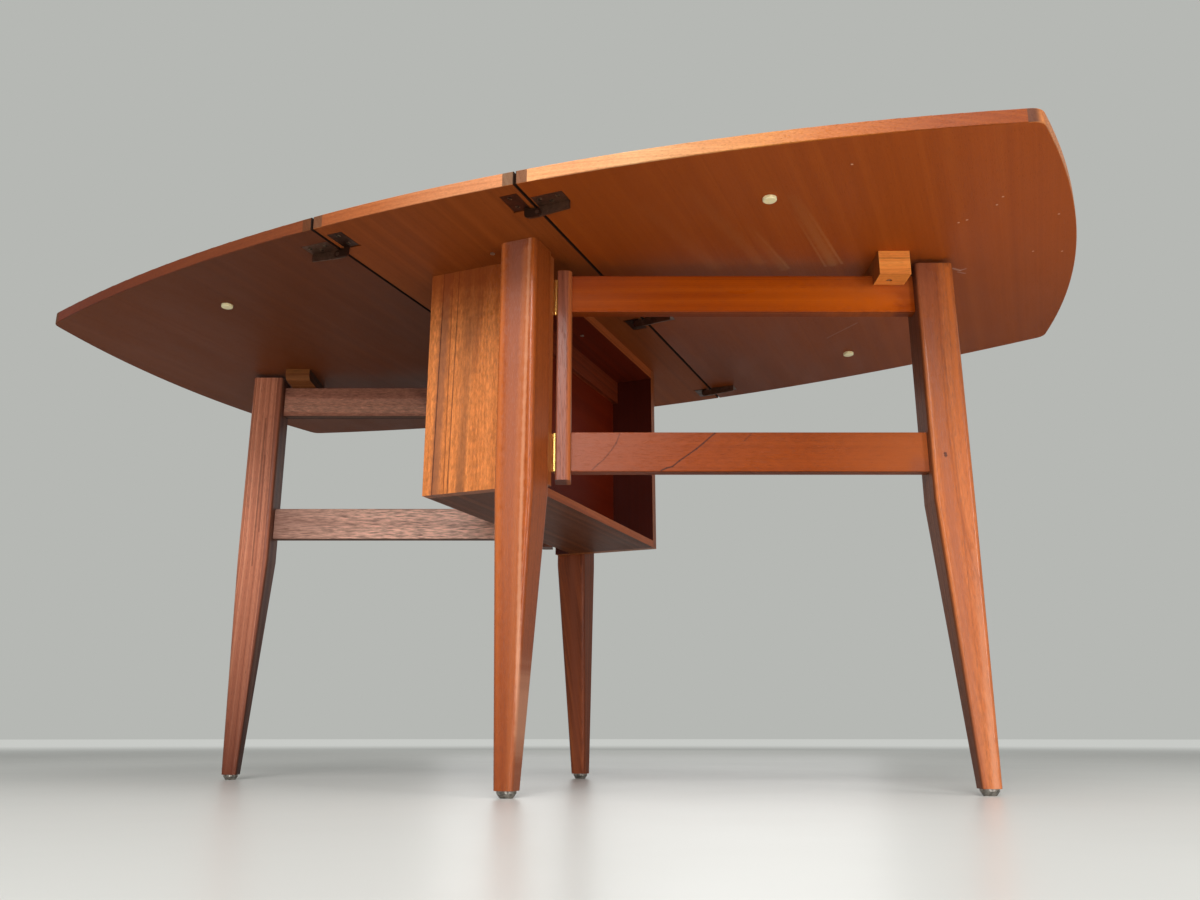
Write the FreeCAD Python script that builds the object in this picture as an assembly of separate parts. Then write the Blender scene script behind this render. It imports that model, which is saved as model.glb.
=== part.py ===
import FreeCAD, Part
import math
import os

# Drop-leaf dining table, leaves up and both gates swung out.
# X runs along the length, Y across the seams away from the front, Z up from the floor.
# The table is the same after half a turn about Z, so every left piece is a half-turn copy of a right one.

# Top: one bowed outline, cut into a centre board and two leaves
TABLE_H = 734.0
BOARD_T = 18.0
UNDER_Z = TABLE_H - BOARD_T
TOP_HALF_L = 784.5
TOP_HALF_W = 446.5
SIDE_ARC_R = 2600.0
END_ARC_R = 1410.0
TOP_CORNER_R = 20.0
TOP_ARRIS = 1.2
SEAM_X = 150.0
SEAM_GAP = 2.6
SEAM_ARRIS = 0.8
SEAM_LIP_W = 15.0
SIDE_LIP_W = 15.0
END_LIP_W = 14.0
CENTRE_EDGE_X = SEAM_X - SEAM_GAP / 2
LEAF_EDGE_X = SEAM_X + SEAM_GAP / 2

# Box under the centre board; each end panel reaches past the box on one side to carry a gate
BOX_HALF_X = 79.5
TOP_OVERHANG = 190.5
BOX_HALF_Y = TOP_HALF_W - TOP_OVERHANG
BOX_H = 328.0
BOX_BOTTOM_Z = UNDER_Z - BOX_H
END_PANEL_T = 16.0
GATE_RECESS = 29.5
END_PANEL_REACH = BOX_HALF_X + GATE_RECESS
BOX_TOP_T = 16.0
BOX_FLOOR_T = 12.0
DIVIDER_T = 9.2
BATTEN_T = 9.4
BATTEN_H = 40.0
BOX_ARRIS = 0.8
PANEL_INNER_Y = BOX_HALF_Y - END_PANEL_T

# Legs
LEG_W = 54.0
LEG_ARRIS_R = 7.0
FOOT_W = 26.0
FOOT_ARRIS_R = 6.0
TAPER_DROP = 16.0
TAPER_TOP_Z = BOX_BOTTOM_Z - TAPER_DROP
GLIDE_H = 8.5
GLIDE_R = 12.0
GLIDE_SOLE_R = 8.0
GLIDE_RIM_H = 3.0
GLIDE_NAIL_R = 1.6
GLIDE_NAIL_L = 16.0
LEG_PROUD = 5.0
FRONT_LEG_X = END_PANEL_REACH + LEG_PROUD - LEG_W
FRONT_LEG_Y = -BOX_HALF_Y - LEG_W
FIXED_FOOT_IN_X = 6.2
FIXED_FOOT_IN_Y = 7.0

# Gates, drawn flat along X in their own frame with the hinge pin on its origin, then turned and moved out
GATE_REST_DEG = 22.6
PIN_BESIDE_PANEL = 3.0
PIN_INSIDE_PANEL = 1.0
GATE_PIN_X = END_PANEL_REACH + PIN_BESIDE_PANEL
GATE_PIN_Y = PIN_INSIDE_PANEL - PANEL_INNER_Y
STILE_GAP = 1.0
STILE_W = 21.0
STILE_D = 30.0
STILE_FAR = STILE_GAP + STILE_W
STILE_TOP_DROP = 18.0
STILE_H = 301.0
STILE_TOP_Z = UNDER_Z - STILE_TOP_DROP
STILE_LOW_Z = STILE_TOP_Z - STILE_H
STILE_ARRIS_R = 3.0
STILE_ROUND_R = 7.0
RAIL_T = 18.8
RAIL_FOLD_GAP = 1.2
RAIL_SETBACK = GATE_PIN_X - BOX_HALF_X - RAIL_FOLD_GAP - RAIL_T
RAIL_H = 55.0
RAIL_TOP_DROP = 20.0
UPPER_RAIL_Z = UNDER_Z - RAIL_TOP_DROP - RAIL_H
LOWER_RAIL_RISE = 14.0
LOWER_RAIL_Z = STILE_LOW_Z + LOWER_RAIL_RISE
RAIL_ARRIS_R = 1.6
TENON_T = 9.0
TENON_SHOULDER = 7.0
STILE_TENON_L = 14.0
LEG_TENON_L = 30.0
LEG_FOLD_GAP = 6.0
GATE_LEG_NEAR = BOX_HALF_Y - GATE_PIN_Y + LEG_FOLD_GAP
GATE_LEG_PROUD = 2.0
GATE_LEG_DROP = 7.0
GATE_LEG_TOP_Z = UNDER_Z - GATE_LEG_DROP
GATE_FOOT_IN_X = 28.0
GATE_FOOT_IN_Y = 7.0

# Butt hinges between box and gate
BUTT_H = 52.0
BUTT_TOP_DROP = 15.0
BUTT_LOW_RISE = 11.0
BUTT_LOW_Z = STILE_LOW_Z + BUTT_LOW_RISE
BUTT_HIGH_Z = STILE_TOP_Z - BUTT_TOP_DROP - BUTT_H
BUTT_LEVELS = (BUTT_LOW_Z, BUTT_HIGH_Z)
BUTT_BARREL_R = 2.4
BUTT_PIN_R = 1.3
BUTT_LEAF_T = 0.9
BUTT_LEAF_W = 21.0
BUTT_FACE_GAP = 0.1
BUTT_KNUCKLES = 5
BUTT_KNUCKLE_GAP = 0.3
BARREL_CLEAR = 0.4
PIN_CLEAR = 0.06
PIN_TIP = 0.6
BUTT_SCREW_INSET = 13.0
BUTT_SCREW_RISE = 12.0
BUTT_SCREW_R = 1.2
BUTT_SCREW_L = 12.0
BUTT_HEAD_R = 2.5
BUTT_HEAD_T = 0.5

# Flap hinges under the seams: a plate with an ear on the centre board, a flanged arm on the leaf
PIN_PAST_SEAM = 0.7
PIN_DROP = 8.0
FLAP_PIN_X = LEAF_EDGE_X + PIN_PAST_SEAM
FLAP_PIN_Z = UNDER_Z - PIN_DROP
FLAP_PLATE_T = 2.0
PLATE_SETBACK = 7.0
PLATE_W = 23.0
PLATE_L = 40.0
PLATE_FAR_X = CENTRE_EDGE_X - PLATE_SETBACK
PLATE_NEAR_X = PLATE_FAR_X - PLATE_W
EAR_T = 2.0
EAR_R = 5.5
EAR_ROOT_L = 8.0
EAR_HEEL_R = 6.0
EAR_NEAR_X = PLATE_FAR_X - EAR_ROOT_L
ARM_GAP = 0.3
FLANGE_T = 2.3
FLANGE_TAPER = 3.0
ARM_SETBACK = 2.5
ARM_PLATE_W = 42.2
ARM_PLATE_L = 27.0
ARM_NEAR_X = LEAF_EDGE_X + ARM_SETBACK
ARM_FAR_X = ARM_NEAR_X + ARM_PLATE_W
NOSE_REACH = 16.0
NOSE_TIP_X = FLAP_PIN_X - NOSE_REACH
LET_IN_CLEAR = 0.5
SLOT_L = 32.0
SLOT_D = 12.0
FLAP_PIN_R = 1.5
FLAP_PIN_HEAD_R = 2.6
FLAP_PIN_HEAD_T = 0.8
PIN_HEAD_GAP = 0.2
HINGE_SETBACK = 68.0
OUTER_HINGE_Y = TOP_HALF_W - HINGE_SETBACK
MIDDLE_HINGE_Y = 5.0
FLAP_SCREW_R = 1.5
FLAP_SCREW_L = 11.0
FLAP_HEAD_R = 3.0
FLAP_HEAD_T = 0.7
PLATE_SCREW_EDGE = 10.0
PLATE_SCREW_END = 8.0
ARM_SCREW_EDGE = 9.0
ARM_SCREW_END = 8.0

# Support blocks under the leaves, drawn in the gate's frame
BLOCK_LEG_GAP = 13.0
BLOCK_W = 43.0
BLOCK_FAR = GATE_LEG_NEAR - BLOCK_LEG_GAP
BLOCK_NEAR = BLOCK_FAR - BLOCK_W
LIP_D = 36.7
LIP_GAP = 0.3
LIP_DROP = 34.6
LIP_BACK = RAIL_SETBACK - LIP_GAP
BLOCK_FRONT = LIP_BACK - LIP_D
TONGUE_L = 48.2
BLOCK_BACK = RAIL_SETBACK + RAIL_T + TONGUE_L
LIP_Z = UNDER_Z - LIP_DROP
TONGUE_Z = UPPER_RAIL_Z + RAIL_H + LIP_GAP
TONGUE_RAMP = 7.0
BLOCK_SCREW_ACROSS = 18.0
BLOCK_SCREW_IN = 21.0
BLOCK_SCREW_X = BLOCK_NEAR + BLOCK_SCREW_ACROSS
BLOCK_SCREW_Y = BLOCK_FRONT + BLOCK_SCREW_IN
BLOCK_SCREW_R = 2.0
BLOCK_SCREW_GRIP = 10.0
BLOCK_SCREW_TIP_Z = UNDER_Z + BLOCK_SCREW_GRIP
BLOCK_HEAD_R = 4.0
BLOCK_HEAD_T = 1.6
BLOCK_SINK = 0.8

# Bumper buttons under the leaves, which meet the square parts of the legs when a leaf hangs
BUMPER_FROM_PIN = 276.0
BUMPER_PAST_BOX = 34.0
BUMPER_X = FLAP_PIN_X + BUMPER_FROM_PIN
BUMPER_Y = BOX_HALF_Y + BUMPER_PAST_BOX
BUMPER_R = 8.8
BUMPER_H = 4.2
BUMPER_ROUND = 1.8
BUMPER_STEM_R = 2.5
BUMPER_STEM_L = 9.0

# Screws whose heads show under the centre board and inside the box
TOP_SCREW_X = 37.0
TOP_SCREW_PAST_BOX = 32.0
TOP_SCREW_Y = -BOX_HALF_Y - TOP_SCREW_PAST_BOX
BOX_SCREW_X = 46.5
BOX_SCREW_Y = 0.7
PANEL_SCREW_R = 2.0
PANEL_SCREW_L = 11.0
PANEL_HEAD_R = 3.4
PANEL_HEAD_T = 1.0

SCREW_CLEAR = 0.05
REACH = 2000.0
HALF_TURN_DEG = 180.0
ORIGIN = FreeCAD.Vector(0, 0, 0)
UP = FreeCAD.Vector(0, 0, 1)
ALONG_Y = FreeCAD.Vector(0, 1, 0)
ALONG_X = FreeCAD.Vector(1, 0, 0)

NODES = {}


def span(x0, x1, y0, y1, z0, z1):
    """A box between two corners."""
    return Part.makeBox(x1 - x0, y1 - y0, z1 - z0, FreeCAD.Vector(x0, y0, z0))


def rod(radius, length, x, y, z, axis=UP):
    """A cylinder that starts at x, y, z and runs along axis."""
    return Part.makeCylinder(radius, length, FreeCAD.Vector(x, y, z), axis)


def turned(shape, degrees):
    """A copy turned about the vertical through the origin."""
    copy = shape.copy()
    copy.rotate(ORIGIN, UP, degrees)
    return copy


def moved(shape, x, y, z=0.0):
    """A copy shifted by x, y, z."""
    copy = shape.copy()
    copy.translate(FreeCAD.Vector(x, y, z))
    return copy


def half_turn(shape):
    """The copy on the other side of the table."""
    return turned(shape, HALF_TURN_DEG)


def mirrored_y(shape):
    """The mirror image across the plane Y = 0."""
    return shape.mirror(ORIGIN, ALONG_Y)


def from_gate(shape):
    """Takes a right-hand gate shape from its own frame to the table."""
    return moved(turned(shape, GATE_REST_DEG), GATE_PIN_X, GATE_PIN_Y)


def cut(shape, tools):
    """The shape less every tool that reaches its box."""
    for tool in tools:
        if shape.BoundBox.intersect(tool.BoundBox):
            shape = shape.cut(tool)
    return shape


def rounded(shape, radius, wanted):
    """Rounds the edges that wanted picks."""
    edges = [edge for edge in shape.Edges if wanted(edge)]
    return shape.makeFillet(radius, edges)


def along(edge, axis):
    """Whether a straight edge runs along axis."""
    if not isinstance(edge.Curve, (Part.Line, Part.LineSegment)):
        return False
    start = edge.Vertexes[0].Point
    end = edge.Vertexes[-1].Point
    return abs((end - start).normalize().dot(axis)) > STRAIGHT_SHARE


def keep(name, solids):
    """Puts one node's solids aside under its name."""
    NODES[name] = list(solids)


def keep_pair(name, solids):
    """Puts aside a right-hand node and its half-turn copy on the left."""
    keep("right_" + name, solids)
    keep("left_" + name, [half_turn(solid) for solid in solids])


STRAIGHT_SHARE = 0.999

# Top outline


def bow(radius, crown, sideways):
    """A tall round slug whose rim passes through the crown point on X or Y."""
    centre = crown - math.copysign(radius, crown)
    x = 0.0 if sideways else centre
    y = centre if sideways else 0.0
    return rod(radius, BOARD_T, x, y, UNDER_Z)


def bowed(side_inset, end_inset):
    """The top's outline drawn in by the two insets, as a slab."""
    slab = bow(SIDE_ARC_R - side_inset, TOP_HALF_W - side_inset, True)
    slab = slab.common(bow(SIDE_ARC_R - side_inset, side_inset - TOP_HALF_W, True))
    slab = slab.common(bow(END_ARC_R - end_inset, TOP_HALF_L - end_inset, False))
    return slab.common(bow(END_ARC_R - end_inset, end_inset - TOP_HALF_L, False))


def whole_top():
    """The whole top with rounded corners and a softened rim."""
    slab = bowed(0.0, 0.0)
    slab = rounded(slab, TOP_CORNER_R, lambda edge: along(edge, UP))
    return rounded(slab, TOP_ARRIS, lambda edge: not along(edge, UP))


def strip(x0, x1):
    """A slab of the whole width and thickness between two X values."""
    return span(x0, x1, -REACH, REACH, UNDER_Z, TABLE_H)


def half_side(sign):
    """Everything on one side of the plane Y = 0."""
    near = -REACH if sign < 0 else 0.0
    far = 0.0 if sign < 0 else REACH
    return span(-REACH, REACH, near, far, UNDER_Z, TABLE_H)


def soft_seam(shape, seam_x):
    """Takes the sharpness off the two long edges at a seam."""
    def at_seam(edge):
        box = edge.BoundBox
        return along(edge, ALONG_Y) and abs(box.XMin - seam_x) < SEAM_ARRIS
    return rounded(shape, SEAM_ARRIS, at_seam)


# Flap hinges, drawn for the right-hand front one with the flange's outer face on Y = 0


def side_plate(profile, y0, thickness):
    """A plate standing in the XZ plane, from its outline points."""
    points = [FreeCAD.Vector(x, y0, z) for x, z in profile]
    face = Part.Face(Part.makePolygon(points + points[:1]))
    return face.extrude(FreeCAD.Vector(0, thickness, 0))


FLANGE_Y0 = -FLANGE_T
EAR_Y1 = FLANGE_Y0 - ARM_GAP
EAR_Y0 = EAR_Y1 - EAR_T
PLATE_Y0 = EAR_Y1 - PLATE_L
ARM_PLATE_Y0 = -ARM_PLATE_L
FLANGE_LOW_Z = FLAP_PIN_Z - EAR_R
PLATE_SCREW_X = PLATE_NEAR_X + PLATE_SCREW_EDGE
PLATE_SCREWS = (
    (PLATE_SCREW_X, PLATE_Y0 + PLATE_SCREW_END),
    (PLATE_SCREW_X, EAR_Y0 - PLATE_SCREW_END),
)
ARM_MIDDLE_X = (ARM_NEAR_X + ARM_FAR_X) / 2
ARM_SCREWS = (
    (ARM_NEAR_X + ARM_SCREW_EDGE, ARM_PLATE_Y0 + ARM_SCREW_END),
    (ARM_FAR_X - ARM_SCREW_EDGE, ARM_PLATE_Y0 + ARM_SCREW_END),
    (ARM_MIDDLE_X, FLANGE_Y0 - ARM_SCREW_END),
)


def at_heel(edge):
    """Whether an edge of the ear's root is its low one away from the pin."""
    box = edge.BoundBox
    return along(edge, ALONG_Y) and box.ZMax < FLAP_PIN_Z and box.XMax < PLATE_FAR_X - EAR_ROOT_L / 2


def centre_plate():
    """The plate let into the centre board, with the ear that holds the pin."""
    plate = span(PLATE_NEAR_X, PLATE_FAR_X, PLATE_Y0, EAR_Y1, UNDER_Z, UNDER_Z + FLAP_PLATE_T)
    stem = span(EAR_NEAR_X, PLATE_FAR_X, EAR_Y0, EAR_Y1, FLAP_PIN_Z - EAR_R, UNDER_Z)
    stem = rounded(stem, EAR_HEEL_R, at_heel)
    bar_x = EAR_NEAR_X + EAR_HEEL_R
    bar = span(bar_x, FLAP_PIN_X, EAR_Y0, EAR_Y1, FLAP_PIN_Z - EAR_R, FLAP_PIN_Z + EAR_R)
    eye = rod(EAR_R, EAR_T, FLAP_PIN_X, EAR_Y0, FLAP_PIN_Z, ALONG_Y)
    plate = plate.fuse([stem, bar, eye]).removeSplitter()
    return plate.cut(rod(FLAP_PIN_R + PIN_CLEAR, EAR_T, FLAP_PIN_X, EAR_Y0, FLAP_PIN_Z, ALONG_Y))


def flap_arm():
    """The leaf's arm: a let-in plate, a hanging flange and a rounded nose past the pin."""
    top = UNDER_Z + FLAP_PLATE_T
    plate = span(ARM_NEAR_X, ARM_FAR_X, ARM_PLATE_Y0, 0.0, UNDER_Z, top)
    nose_x = NOSE_TIP_X + EAR_R
    nose = rod(EAR_R, FLANGE_T, nose_x, FLANGE_Y0, FLAP_PIN_Z, ALONG_Y)
    neck = span(nose_x, ARM_NEAR_X, FLANGE_Y0, 0.0, FLANGE_LOW_Z, FLAP_PIN_Z + EAR_R)
    outline = (
        (ARM_NEAR_X, FLANGE_LOW_Z),
        (ARM_FAR_X, FLANGE_LOW_Z + FLANGE_TAPER),
        (ARM_FAR_X, UNDER_Z),
        (ARM_NEAR_X, UNDER_Z),
    )
    flange = side_plate(outline, FLANGE_Y0, FLANGE_T)
    arm = plate.fuse([nose, neck, flange]).removeSplitter()
    return arm.cut(rod(FLAP_PIN_R + PIN_CLEAR, FLANGE_T, FLAP_PIN_X, FLANGE_Y0, FLAP_PIN_Z, ALONG_Y))


def flap_pin():
    """The headed pin through ear and flange."""
    start = EAR_Y0 - FLAP_PIN_HEAD_T
    grip = -start + PIN_HEAD_GAP
    pin = rod(FLAP_PIN_R, grip, FLAP_PIN_X, start, FLAP_PIN_Z, ALONG_Y)
    near = rod(FLAP_PIN_HEAD_R, FLAP_PIN_HEAD_T, FLAP_PIN_X, start, FLAP_PIN_Z, ALONG_Y)
    far = rod(FLAP_PIN_HEAD_R, FLAP_PIN_HEAD_T, FLAP_PIN_X, PIN_HEAD_GAP, FLAP_PIN_Z, ALONG_Y)
    return pin.fuse([near, far]).removeSplitter()


def screw_up(x, y, z, radius, length, head_r, head_t):
    """A screw driven upwards, its head resting under the face at height z."""
    shank = rod(radius, length, x, y, z)
    head = rod(head_r, head_t, x, y, z - head_t)
    head = rounded(head, head_t * HEAD_ROUND_SHARE, lambda edge: edge.BoundBox.ZMax < z)
    return shank.fuse(head).removeSplitter()


HEAD_ROUND_SHARE = 0.7


def flap_screw(spot):
    """A screw through a hinge plate at an x, y spot."""
    x, y = spot
    return screw_up(x, y, UNDER_Z, FLAP_SCREW_R, FLAP_SCREW_L, FLAP_HEAD_R, FLAP_HEAD_T)


def screw_hole(spot):
    """The hole that a hinge screw needs."""
    x, y = spot
    return rod(FLAP_SCREW_R + SCREW_CLEAR, FLAP_SCREW_L, x, y, UNDER_Z)


def let_in(x0, x1, y0, y1):
    """The shallow pocket that takes a hinge plate."""
    gap = LET_IN_CLEAR
    return span(x0 - gap, x1 + gap, y0 - gap, y1 + gap, UNDER_Z, UNDER_Z + FLAP_PLATE_T)


def nose_slot():
    """The narrow slot in the centre board above the nose."""
    near_x = CENTRE_EDGE_X - SLOT_L
    return span(near_x, CENTRE_EDGE_X, EAR_Y1, ARM_GAP, UNDER_Z, UNDER_Z + SLOT_D)


def at_hinges(make):
    """Makes a right-hand hinge part at its front, middle and back places."""
    front = moved(make(), 0.0, -OUTER_HINGE_Y)
    middle = moved(mirrored_y(make()), 0.0, MIDDLE_HINGE_Y)
    back = moved(mirrored_y(make()), 0.0, OUTER_HINGE_Y)
    return [front, middle, back]


def hinge_set(make, spots):
    """Makes a hinge part at each spot of every right-hand hinge."""
    return [solid for spot in spots for solid in at_hinges(lambda: make(spot))]


# Support blocks and bumpers


def support_block():
    """The stepped block that rests on the upper rail and stops against its front."""
    outline = (
        (BLOCK_FRONT, LIP_Z),
        (LIP_BACK, LIP_Z),
        (LIP_BACK, TONGUE_Z),
        (BLOCK_BACK - TONGUE_RAMP, TONGUE_Z),
        (BLOCK_BACK, TONGUE_Z + TONGUE_RAMP),
        (BLOCK_BACK, UNDER_Z),
        (BLOCK_FRONT, UNDER_Z),
    )
    points = [FreeCAD.Vector(BLOCK_NEAR, v, z) for v, z in outline]
    face = Part.Face(Part.makePolygon(points + points[:1]))
    block = face.extrude(FreeCAD.Vector(BLOCK_FAR - BLOCK_NEAR, 0, 0))
    hole = rod(BLOCK_SCREW_R + SCREW_CLEAR, UNDER_Z - LIP_Z, BLOCK_SCREW_X, BLOCK_SCREW_Y, LIP_Z)
    sink_h = BLOCK_HEAD_T + BLOCK_SINK
    sink = rod(BLOCK_HEAD_R + SCREW_CLEAR, sink_h, BLOCK_SCREW_X, BLOCK_SCREW_Y, LIP_Z)
    return block.cut(hole).cut(sink)


def block_screw():
    """The screw up through the lip of the block."""
    z = LIP_Z + BLOCK_HEAD_T + BLOCK_SINK
    length = BLOCK_SCREW_TIP_Z - z
    spot = (BLOCK_SCREW_X, BLOCK_SCREW_Y)
    return screw_up(*spot, z, BLOCK_SCREW_R, length, BLOCK_HEAD_R, BLOCK_HEAD_T)


def bumper(y):
    """A round button with a stem pressed into the leaf."""
    button = rod(BUMPER_R, BUMPER_H, BUMPER_X, y, UNDER_Z - BUMPER_H)
    low = UNDER_Z - BUMPER_H / 2
    button = rounded(button, BUMPER_ROUND, lambda edge: edge.BoundBox.ZMax < low)
    stem = rod(BUMPER_STEM_R, BUMPER_STEM_L, BUMPER_X, y, UNDER_Z)
    return button.fuse(stem).removeSplitter()


def bumper_hole(y):
    """The hole for a bumper's stem."""
    return rod(BUMPER_STEM_R + SCREW_CLEAR, BUMPER_STEM_L, BUMPER_X, y, UNDER_Z)


# The top's pieces

arm_holes = hinge_set(screw_hole, ARM_SCREWS)
arm_pockets = at_hinges(lambda: let_in(ARM_NEAR_X, ARM_FAR_X, ARM_PLATE_Y0, 0.0))
block_hole = from_gate(rod(BLOCK_SCREW_R + SCREW_CLEAR, BLOCK_SCREW_TIP_Z - UNDER_Z,
                           BLOCK_SCREW_X, BLOCK_SCREW_Y, UNDER_Z))
leaf_cuts = arm_holes + arm_pockets + [block_hole, bumper_hole(-BUMPER_Y), bumper_hole(BUMPER_Y)]

plate_holes = hinge_set(screw_hole, PLATE_SCREWS)
plate_pockets = at_hinges(lambda: let_in(PLATE_NEAR_X, PLATE_FAR_X, PLATE_Y0, EAR_Y1))
right_centre_cuts = plate_holes + plate_pockets + at_hinges(nose_slot)
panel_hole_r = PANEL_SCREW_R + SCREW_CLEAR
top_screw_hole = rod(panel_hole_r, PANEL_SCREW_L, TOP_SCREW_X, TOP_SCREW_Y, UNDER_Z)
box_screw_z = UNDER_Z - BOX_TOP_T
box_screw_l = BOX_TOP_T + PANEL_SCREW_L
box_screw_hole = rod(panel_hole_r, box_screw_l, BOX_SCREW_X, BOX_SCREW_Y, box_screw_z)
one_side_cuts = right_centre_cuts + [top_screw_hole, box_screw_hole]
centre_cuts = one_side_cuts + [half_turn(tool) for tool in one_side_cuts]

top = whole_top()
drawn_in_sides = bowed(SIDE_LIP_W, 0.0)
drawn_in_ends = bowed(0.0, END_LIP_W)
centre_inner_x = CENTRE_EDGE_X - SEAM_LIP_W
leaf_inner_x = LEAF_EDGE_X + SEAM_LIP_W

middle = top.common(strip(-centre_inner_x, centre_inner_x))
keep("centre_board", [cut(middle.common(drawn_in_sides), centre_cuts)])
middle_sides = middle.cut(drawn_in_sides)
keep("centre_side_lipping_front", [cut(middle_sides.common(half_side(-1)), centre_cuts)])
keep("centre_side_lipping_back", [cut(middle_sides.common(half_side(1)), centre_cuts)])
seam_lip = soft_seam(top.common(strip(centre_inner_x, CENTRE_EDGE_X)), CENTRE_EDGE_X)
seam_lip = cut(seam_lip, centre_cuts)
keep("centre_seam_lipping_right", [seam_lip])
keep("centre_seam_lipping_left", [half_turn(seam_lip)])

leaf = top.common(strip(leaf_inner_x, REACH))
leaf_inside = leaf.common(drawn_in_ends)
keep_pair("leaf_board", [cut(leaf_inside.common(drawn_in_sides), leaf_cuts)])
leaf_sides = leaf_inside.cut(drawn_in_sides)
keep_pair("leaf_side_lipping_front", [cut(leaf_sides.common(half_side(-1)), leaf_cuts)])
keep_pair("leaf_side_lipping_back", [cut(leaf_sides.common(half_side(1)), leaf_cuts)])
keep_pair("leaf_end_lipping", [leaf.cut(drawn_in_ends)])
leaf_seam_lip = soft_seam(top.common(strip(LEAF_EDGE_X, leaf_inner_x)), LEAF_EDGE_X)
keep_pair("leaf_seam_lipping", [cut(leaf_seam_lip, leaf_cuts)])

# Flap hinges, blocks and bumpers

plates = at_hinges(centre_plate)
plate_through = hinge_set(screw_hole, PLATE_SCREWS)
keep_pair("flap_plates", [cut(plate, plate_through) for plate in plates])
arms = at_hinges(flap_arm)
keep_pair("flap_arms", [cut(arm, arm_holes) for arm in arms])
pins = at_hinges(flap_pin)
keep("flap_pins", pins + [half_turn(pin) for pin in pins])
plate_screws = hinge_set(flap_screw, PLATE_SCREWS)
keep("flap_plate_screws", plate_screws + [half_turn(screw) for screw in plate_screws])
keep_pair("flap_arm_screws", hinge_set(flap_screw, ARM_SCREWS))

keep_pair("support_block", [from_gate(support_block())])
keep_pair("block_screw", [from_gate(block_screw())])
keep_pair("bumpers", [bumper(-BUMPER_Y), bumper(BUMPER_Y)])

panel_screw_size = (PANEL_HEAD_R, PANEL_HEAD_T)
top_screw = screw_up(TOP_SCREW_X, TOP_SCREW_Y, UNDER_Z, PANEL_SCREW_R, PANEL_SCREW_L, *panel_screw_size)
box_screw = screw_up(BOX_SCREW_X, BOX_SCREW_Y, box_screw_z, PANEL_SCREW_R, box_screw_l, *panel_screw_size)
keep("panel_screws", [top_screw, box_screw, half_turn(top_screw), half_turn(box_screw)])


# Butt hinges, drawn in the gate's frame with the pin on the origin


def knuckles(z0, first):
    """Every second knuckle of one hinge's barrel."""
    pitch = (BUTT_H + BUTT_KNUCKLE_GAP) / BUTT_KNUCKLES
    height = pitch - BUTT_KNUCKLE_GAP
    places = range(first, BUTT_KNUCKLES, 2)
    return [rod(BUTT_BARREL_R, height, 0.0, 0.0, z0 + place * pitch) for place in places]


def other_knuckles(z0, first):
    """The room that one leaf leaves for the other leaf's knuckles."""
    pitch = (BUTT_H + BUTT_KNUCKLE_GAP) / BUTT_KNUCKLES
    height = pitch + BUTT_KNUCKLE_GAP
    low = z0 - BUTT_KNUCKLE_GAP
    radius = BUTT_BARREL_R + BARREL_CLEAR
    places = range(1 - first, BUTT_KNUCKLES, 2)
    return [rod(radius, height, 0.0, 0.0, low + place * pitch) for place in places]


def butt_leaf(z0, first, u0):
    """One hinge leaf lying in the V direction on the plane U = u0, with its knuckles and holes."""
    leaf_plate = span(u0, u0 + BUTT_LEAF_T, 0.0, BUTT_LEAF_W, z0, z0 + BUTT_H)
    leaf_plate = leaf_plate.cut(Part.makeCompound(other_knuckles(z0, first)))
    leaf_plate = leaf_plate.fuse(knuckles(z0, first)).removeSplitter()
    leaf_plate = leaf_plate.cut(rod(BUTT_PIN_R + PIN_CLEAR, BUTT_H, 0.0, 0.0, z0))
    return leaf_plate


def butt_screw_spots(z0):
    """The heights of a leaf's two screws."""
    return (z0 + BUTT_SCREW_RISE, z0 + BUTT_H - BUTT_SCREW_RISE)


def butt_screw(z, face_u, way):
    """A flush screw that enters the leaf at face_u and runs the given way along U."""
    axis = FreeCAD.Vector(way, 0, 0)
    head = rod(BUTT_HEAD_R, BUTT_HEAD_T, face_u, BUTT_SCREW_INSET, z, axis)
    shank = rod(BUTT_SCREW_R, BUTT_SCREW_L, face_u, BUTT_SCREW_INSET, z, axis)
    return head.fuse(shank).removeSplitter()


def butt_screw_room(z, face_u, way):
    """The hole that a flush screw needs."""
    axis = FreeCAD.Vector(way, 0, 0)
    head = rod(BUTT_HEAD_R + SCREW_CLEAR, BUTT_HEAD_T, face_u, BUTT_SCREW_INSET, z, axis)
    shank = rod(BUTT_SCREW_R + SCREW_CLEAR, BUTT_SCREW_L, face_u, BUTT_SCREW_INSET, z, axis)
    return head.fuse(shank)


def fixed_place(shape):
    """Takes a closed hinge's fixed half from the gate's folded frame to the box."""
    return moved(turned(shape, QUARTER_TURN_DEG), GATE_PIN_X, GATE_PIN_Y)


QUARTER_TURN_DEG = 90.0
swing_u0 = BUTT_FACE_GAP
fixed_u0 = -BUTT_FACE_GAP - BUTT_LEAF_T
swing_screw_z = [z for z0 in BUTT_LEVELS for z in butt_screw_spots(z0)]
swing_rooms = [butt_screw_room(z, swing_u0, 1) for z in swing_screw_z]
fixed_rooms = [butt_screw_room(z, -BUTT_FACE_GAP, -1) for z in swing_screw_z]
barrel_rooms = [rod(BUTT_BARREL_R + BARREL_CLEAR, BUTT_H + 2 * BARREL_CLEAR, 0.0, 0.0, z0 - BARREL_CLEAR)
                for z0 in BUTT_LEVELS]

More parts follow.
